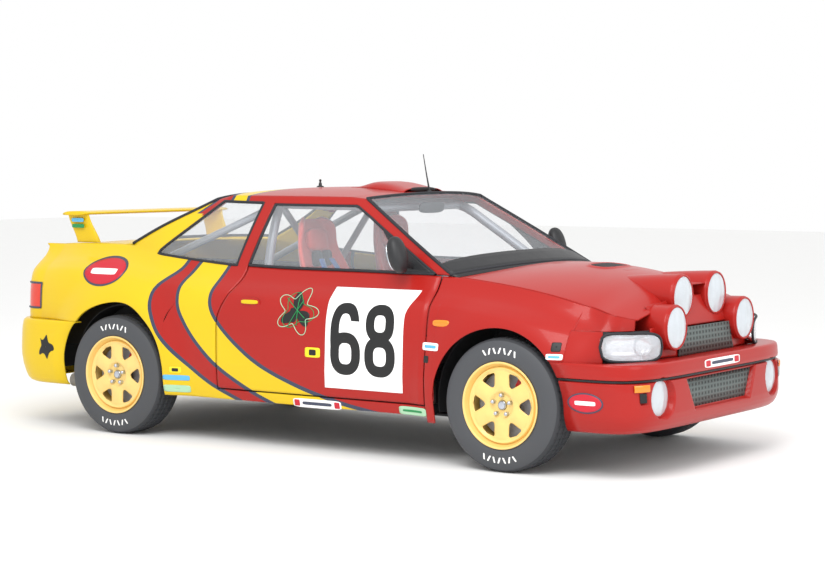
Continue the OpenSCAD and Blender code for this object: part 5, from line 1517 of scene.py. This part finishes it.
a = round_angles(72)[:, None]
r = np.linspace(0.02, 1, 8)[None]
for side, sign in SIDES:
    for name, half, material, out in (("rim", (96, 50), decal_slate, 1.6),
                                      ("field", (88, 43), decal_red, 2.6)):
        piece = sheet(f"front_oval_{name}_{side}",
                      on_bumper(front_oval_x + r * half[0] * np.cos(a),
                                front_oval_z + r * half[1] * np.sin(a), sign, True, out),
                      material, "body", (front_oval_x, 0, front_oval_z), wall=1.0, wrap=True)
    bar = sheet(f"front_oval_bar_{side}",
                on_bumper(front_oval_x + r * 56 * squared(np.cos(a), LABEL_POWER),
                          front_oval_z + r * 10 * squared(np.sin(a), LABEL_POWER), sign, True, 3.6),
                decal_white, "body", (front_oval_x, 0, front_oval_z), wall=1.0, wrap=True)
    blot = sheet(f"rear_bumper_mark_{side}",
                 on_bumper(-1725 + r * (50 + 18 * np.cos(3 * a + 0.5)) * np.cos(a),
                           458 + r * (56 + 16 * np.cos(5 * a)) * np.sin(a), sign, False, 1.6),
                 decal_black, "body", (-1725, 0, 458), wall=1.0, wrap=True)
    for k, (material, slot_name) in enumerate(((decal_blue, "yellow_paint"),
                                               (decal_dark_green, "yellow_paint"))):
        leg_x, leg_z = wing_x0 - chord / 2 + 6 + 4 * k, wing_top - 52 - 34 * k
        plate = join(leg_x + r * 46 * squared(np.cos(a), LABEL_POWER), sign * (616.0 + 0 * a),
                     leg_z + r * 11 * squared(np.sin(a), LABEL_POWER))
        plate = sheet(f"wing_leg_label_{k}_{side}", plate, material, "boot_lid", (leg_x, 0, leg_z),
                      wall=3.0, wrap=True)
for name, half, at_y, material, out in (("ground", (196, 21), 0, decal_white, 1.4),
                                        ("ink", (118, 8), 0, decal_slate, 2.4),
                                        ("left_end", (25, 15), 158, decal_red, 2.4),
                                        ("right_end", (25, 15), -158, decal_red, 2.4)):
    y, z = at_y + r * half[0] * squared(np.cos(a), LABEL_POWER), 520 + r * half[1] * squared(np.sin(a),
            LABEL_POWER)
    start = arches[0][0] + np.sqrt(arch_r**2 - (z - arches[0][1]) ** 2) + 2
    width = side_y(start, z) - np.interp(z, front_rows[:-1, 0], front_rows[:-1, 2])
    face = start + (nose_x - np.interp(z, front_rows[:-1, 0],
                                       front_rows[:-1, 1]) - start) * (1
                                               - np.abs(y / width) ** FRONT_POWER) ** (1 / FRONT_POWER)
    piece = sheet(f"bumper_bar_label_{name}", np.stack([face + out, y, z], -1), material, "body",
                  (1500, 0, 520), wall=1.0, wrap=True)
print("marks laid on both sides")

# %% [markdown]
# ## Parts carried over from the solid model
# The floor, the wheelhouses, the engine and the running gear keep their solid shape. They only need a
# better finish, so the materials are put on their slots.
# %% Finishes of the carried parts
cast_alloy = plain("sand_cast_alloy", "#7F838A", 0.14, 18, (0.45, 0.65), 0.5, 1.6, Metallic=1.0)
arm_paint = plain("black_stove_enamel", "#24262B", 0.12, 40, (0.4, 0.55), 0.1, 2.0, IOR=1.5)
carried = {"floor_pan": dark_paint, "front_frame": dark_paint, "rear_frame": dark_paint,
           "engine_block": cast_alloy, "exhaust": exhaust_steel,
           "front_suspension": arm_paint, "rear_axle": arm_paint, "knuckle_left": cast_alloy,
           "knuckle_right": cast_alloy}
for node, material in carried.items():
    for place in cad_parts[node].material_slots:
        place.material = material
print("carried over:", len(carried))

# %% [markdown]
# ## Studio
# The floor and the world are near white, so the car stands in soft even light. One large lamp high on
# the viewer's side shapes the body, and a weaker one fills the nose.
# %% Floor, light and camera
def floor_finish():
    """Near-white matt paint with a faint mottle."""
    m, tree, shader = finish_of("matt_studio_floor", Roughness=0.9, IOR=1.45)
    mottle(tree, shader, "#F6F6F5", 0.01, 400, (0.85, 0.95))
    return m


s = np.linspace(-30000, 30000, 3)
flat = np.stack([*np.meshgrid(s, s, indexing="ij"), np.zeros((3, 3))], -1)
mesh = bpy.data.meshes.new("studio_floor")
mesh.from_pydata((flat.reshape(-1, 3) * MM).tolist(), [], faces_of_grid(3, 3).tolist())
floor = bpy.data.objects.new("studio_floor", mesh)
mesh.materials.append(floor_finish())
bpy.context.scene.collection.objects.link(floor)

world = bpy.data.worlds.new("studio_world")
world.use_nodes = True
world.node_tree.nodes["Background"].inputs["Color"].default_value = (1, 1, 1, 1)
world.node_tree.nodes["Background"].inputs["Strength"].default_value = 1.0
bpy.context.scene.world = world
bpy.context.scene.view_settings.view_transform = "Standard"


def soft_lamp(name, at, aim, size, power):
    """An area lamp at a place, turned so that its front looks at the aim."""
    lamp = bpy.data.lights.new(name, "AREA")
    lamp.shape, lamp.size, lamp.energy = "SQUARE", size, power
    holder = bpy.data.objects.new(name, lamp)
    holder.location = at
    holder.rotation_euler = (Vector(aim) - Vector(at)).to_track_quat("-Z", "Y").to_euler()
    bpy.context.scene.collection.objects.link(holder)


soft_lamp("key_lamp", (3.0, -5.5, 6.5), (0, 0, 0.5), 5.0, 420)
soft_lamp("nose_lamp", (7.5, -1.0, 3.5), (1.5, 0, 0.6), 3.5, 90)

yaw, pitch = math.radians(34.555), math.radians(-3.650)
lens = bpy.data.cameras.new("studio_camera")
lens.sensor_width, lens.lens = 36.0, 2070.6 / 825 * 36
lens.clip_end = 200
camera = bpy.data.objects.new("studio_camera", lens)
camera.location = (6.649, -9.353, 1.541)
look = Vector((-math.sin(yaw) * math.cos(pitch), math.cos(yaw) * math.cos(pitch), math.sin(pitch)))
camera.rotation_euler = look.to_track_quat("-Z", "Y").to_euler()
bpy.context.scene.collection.objects.link(camera)
bpy.context.scene.camera = camera
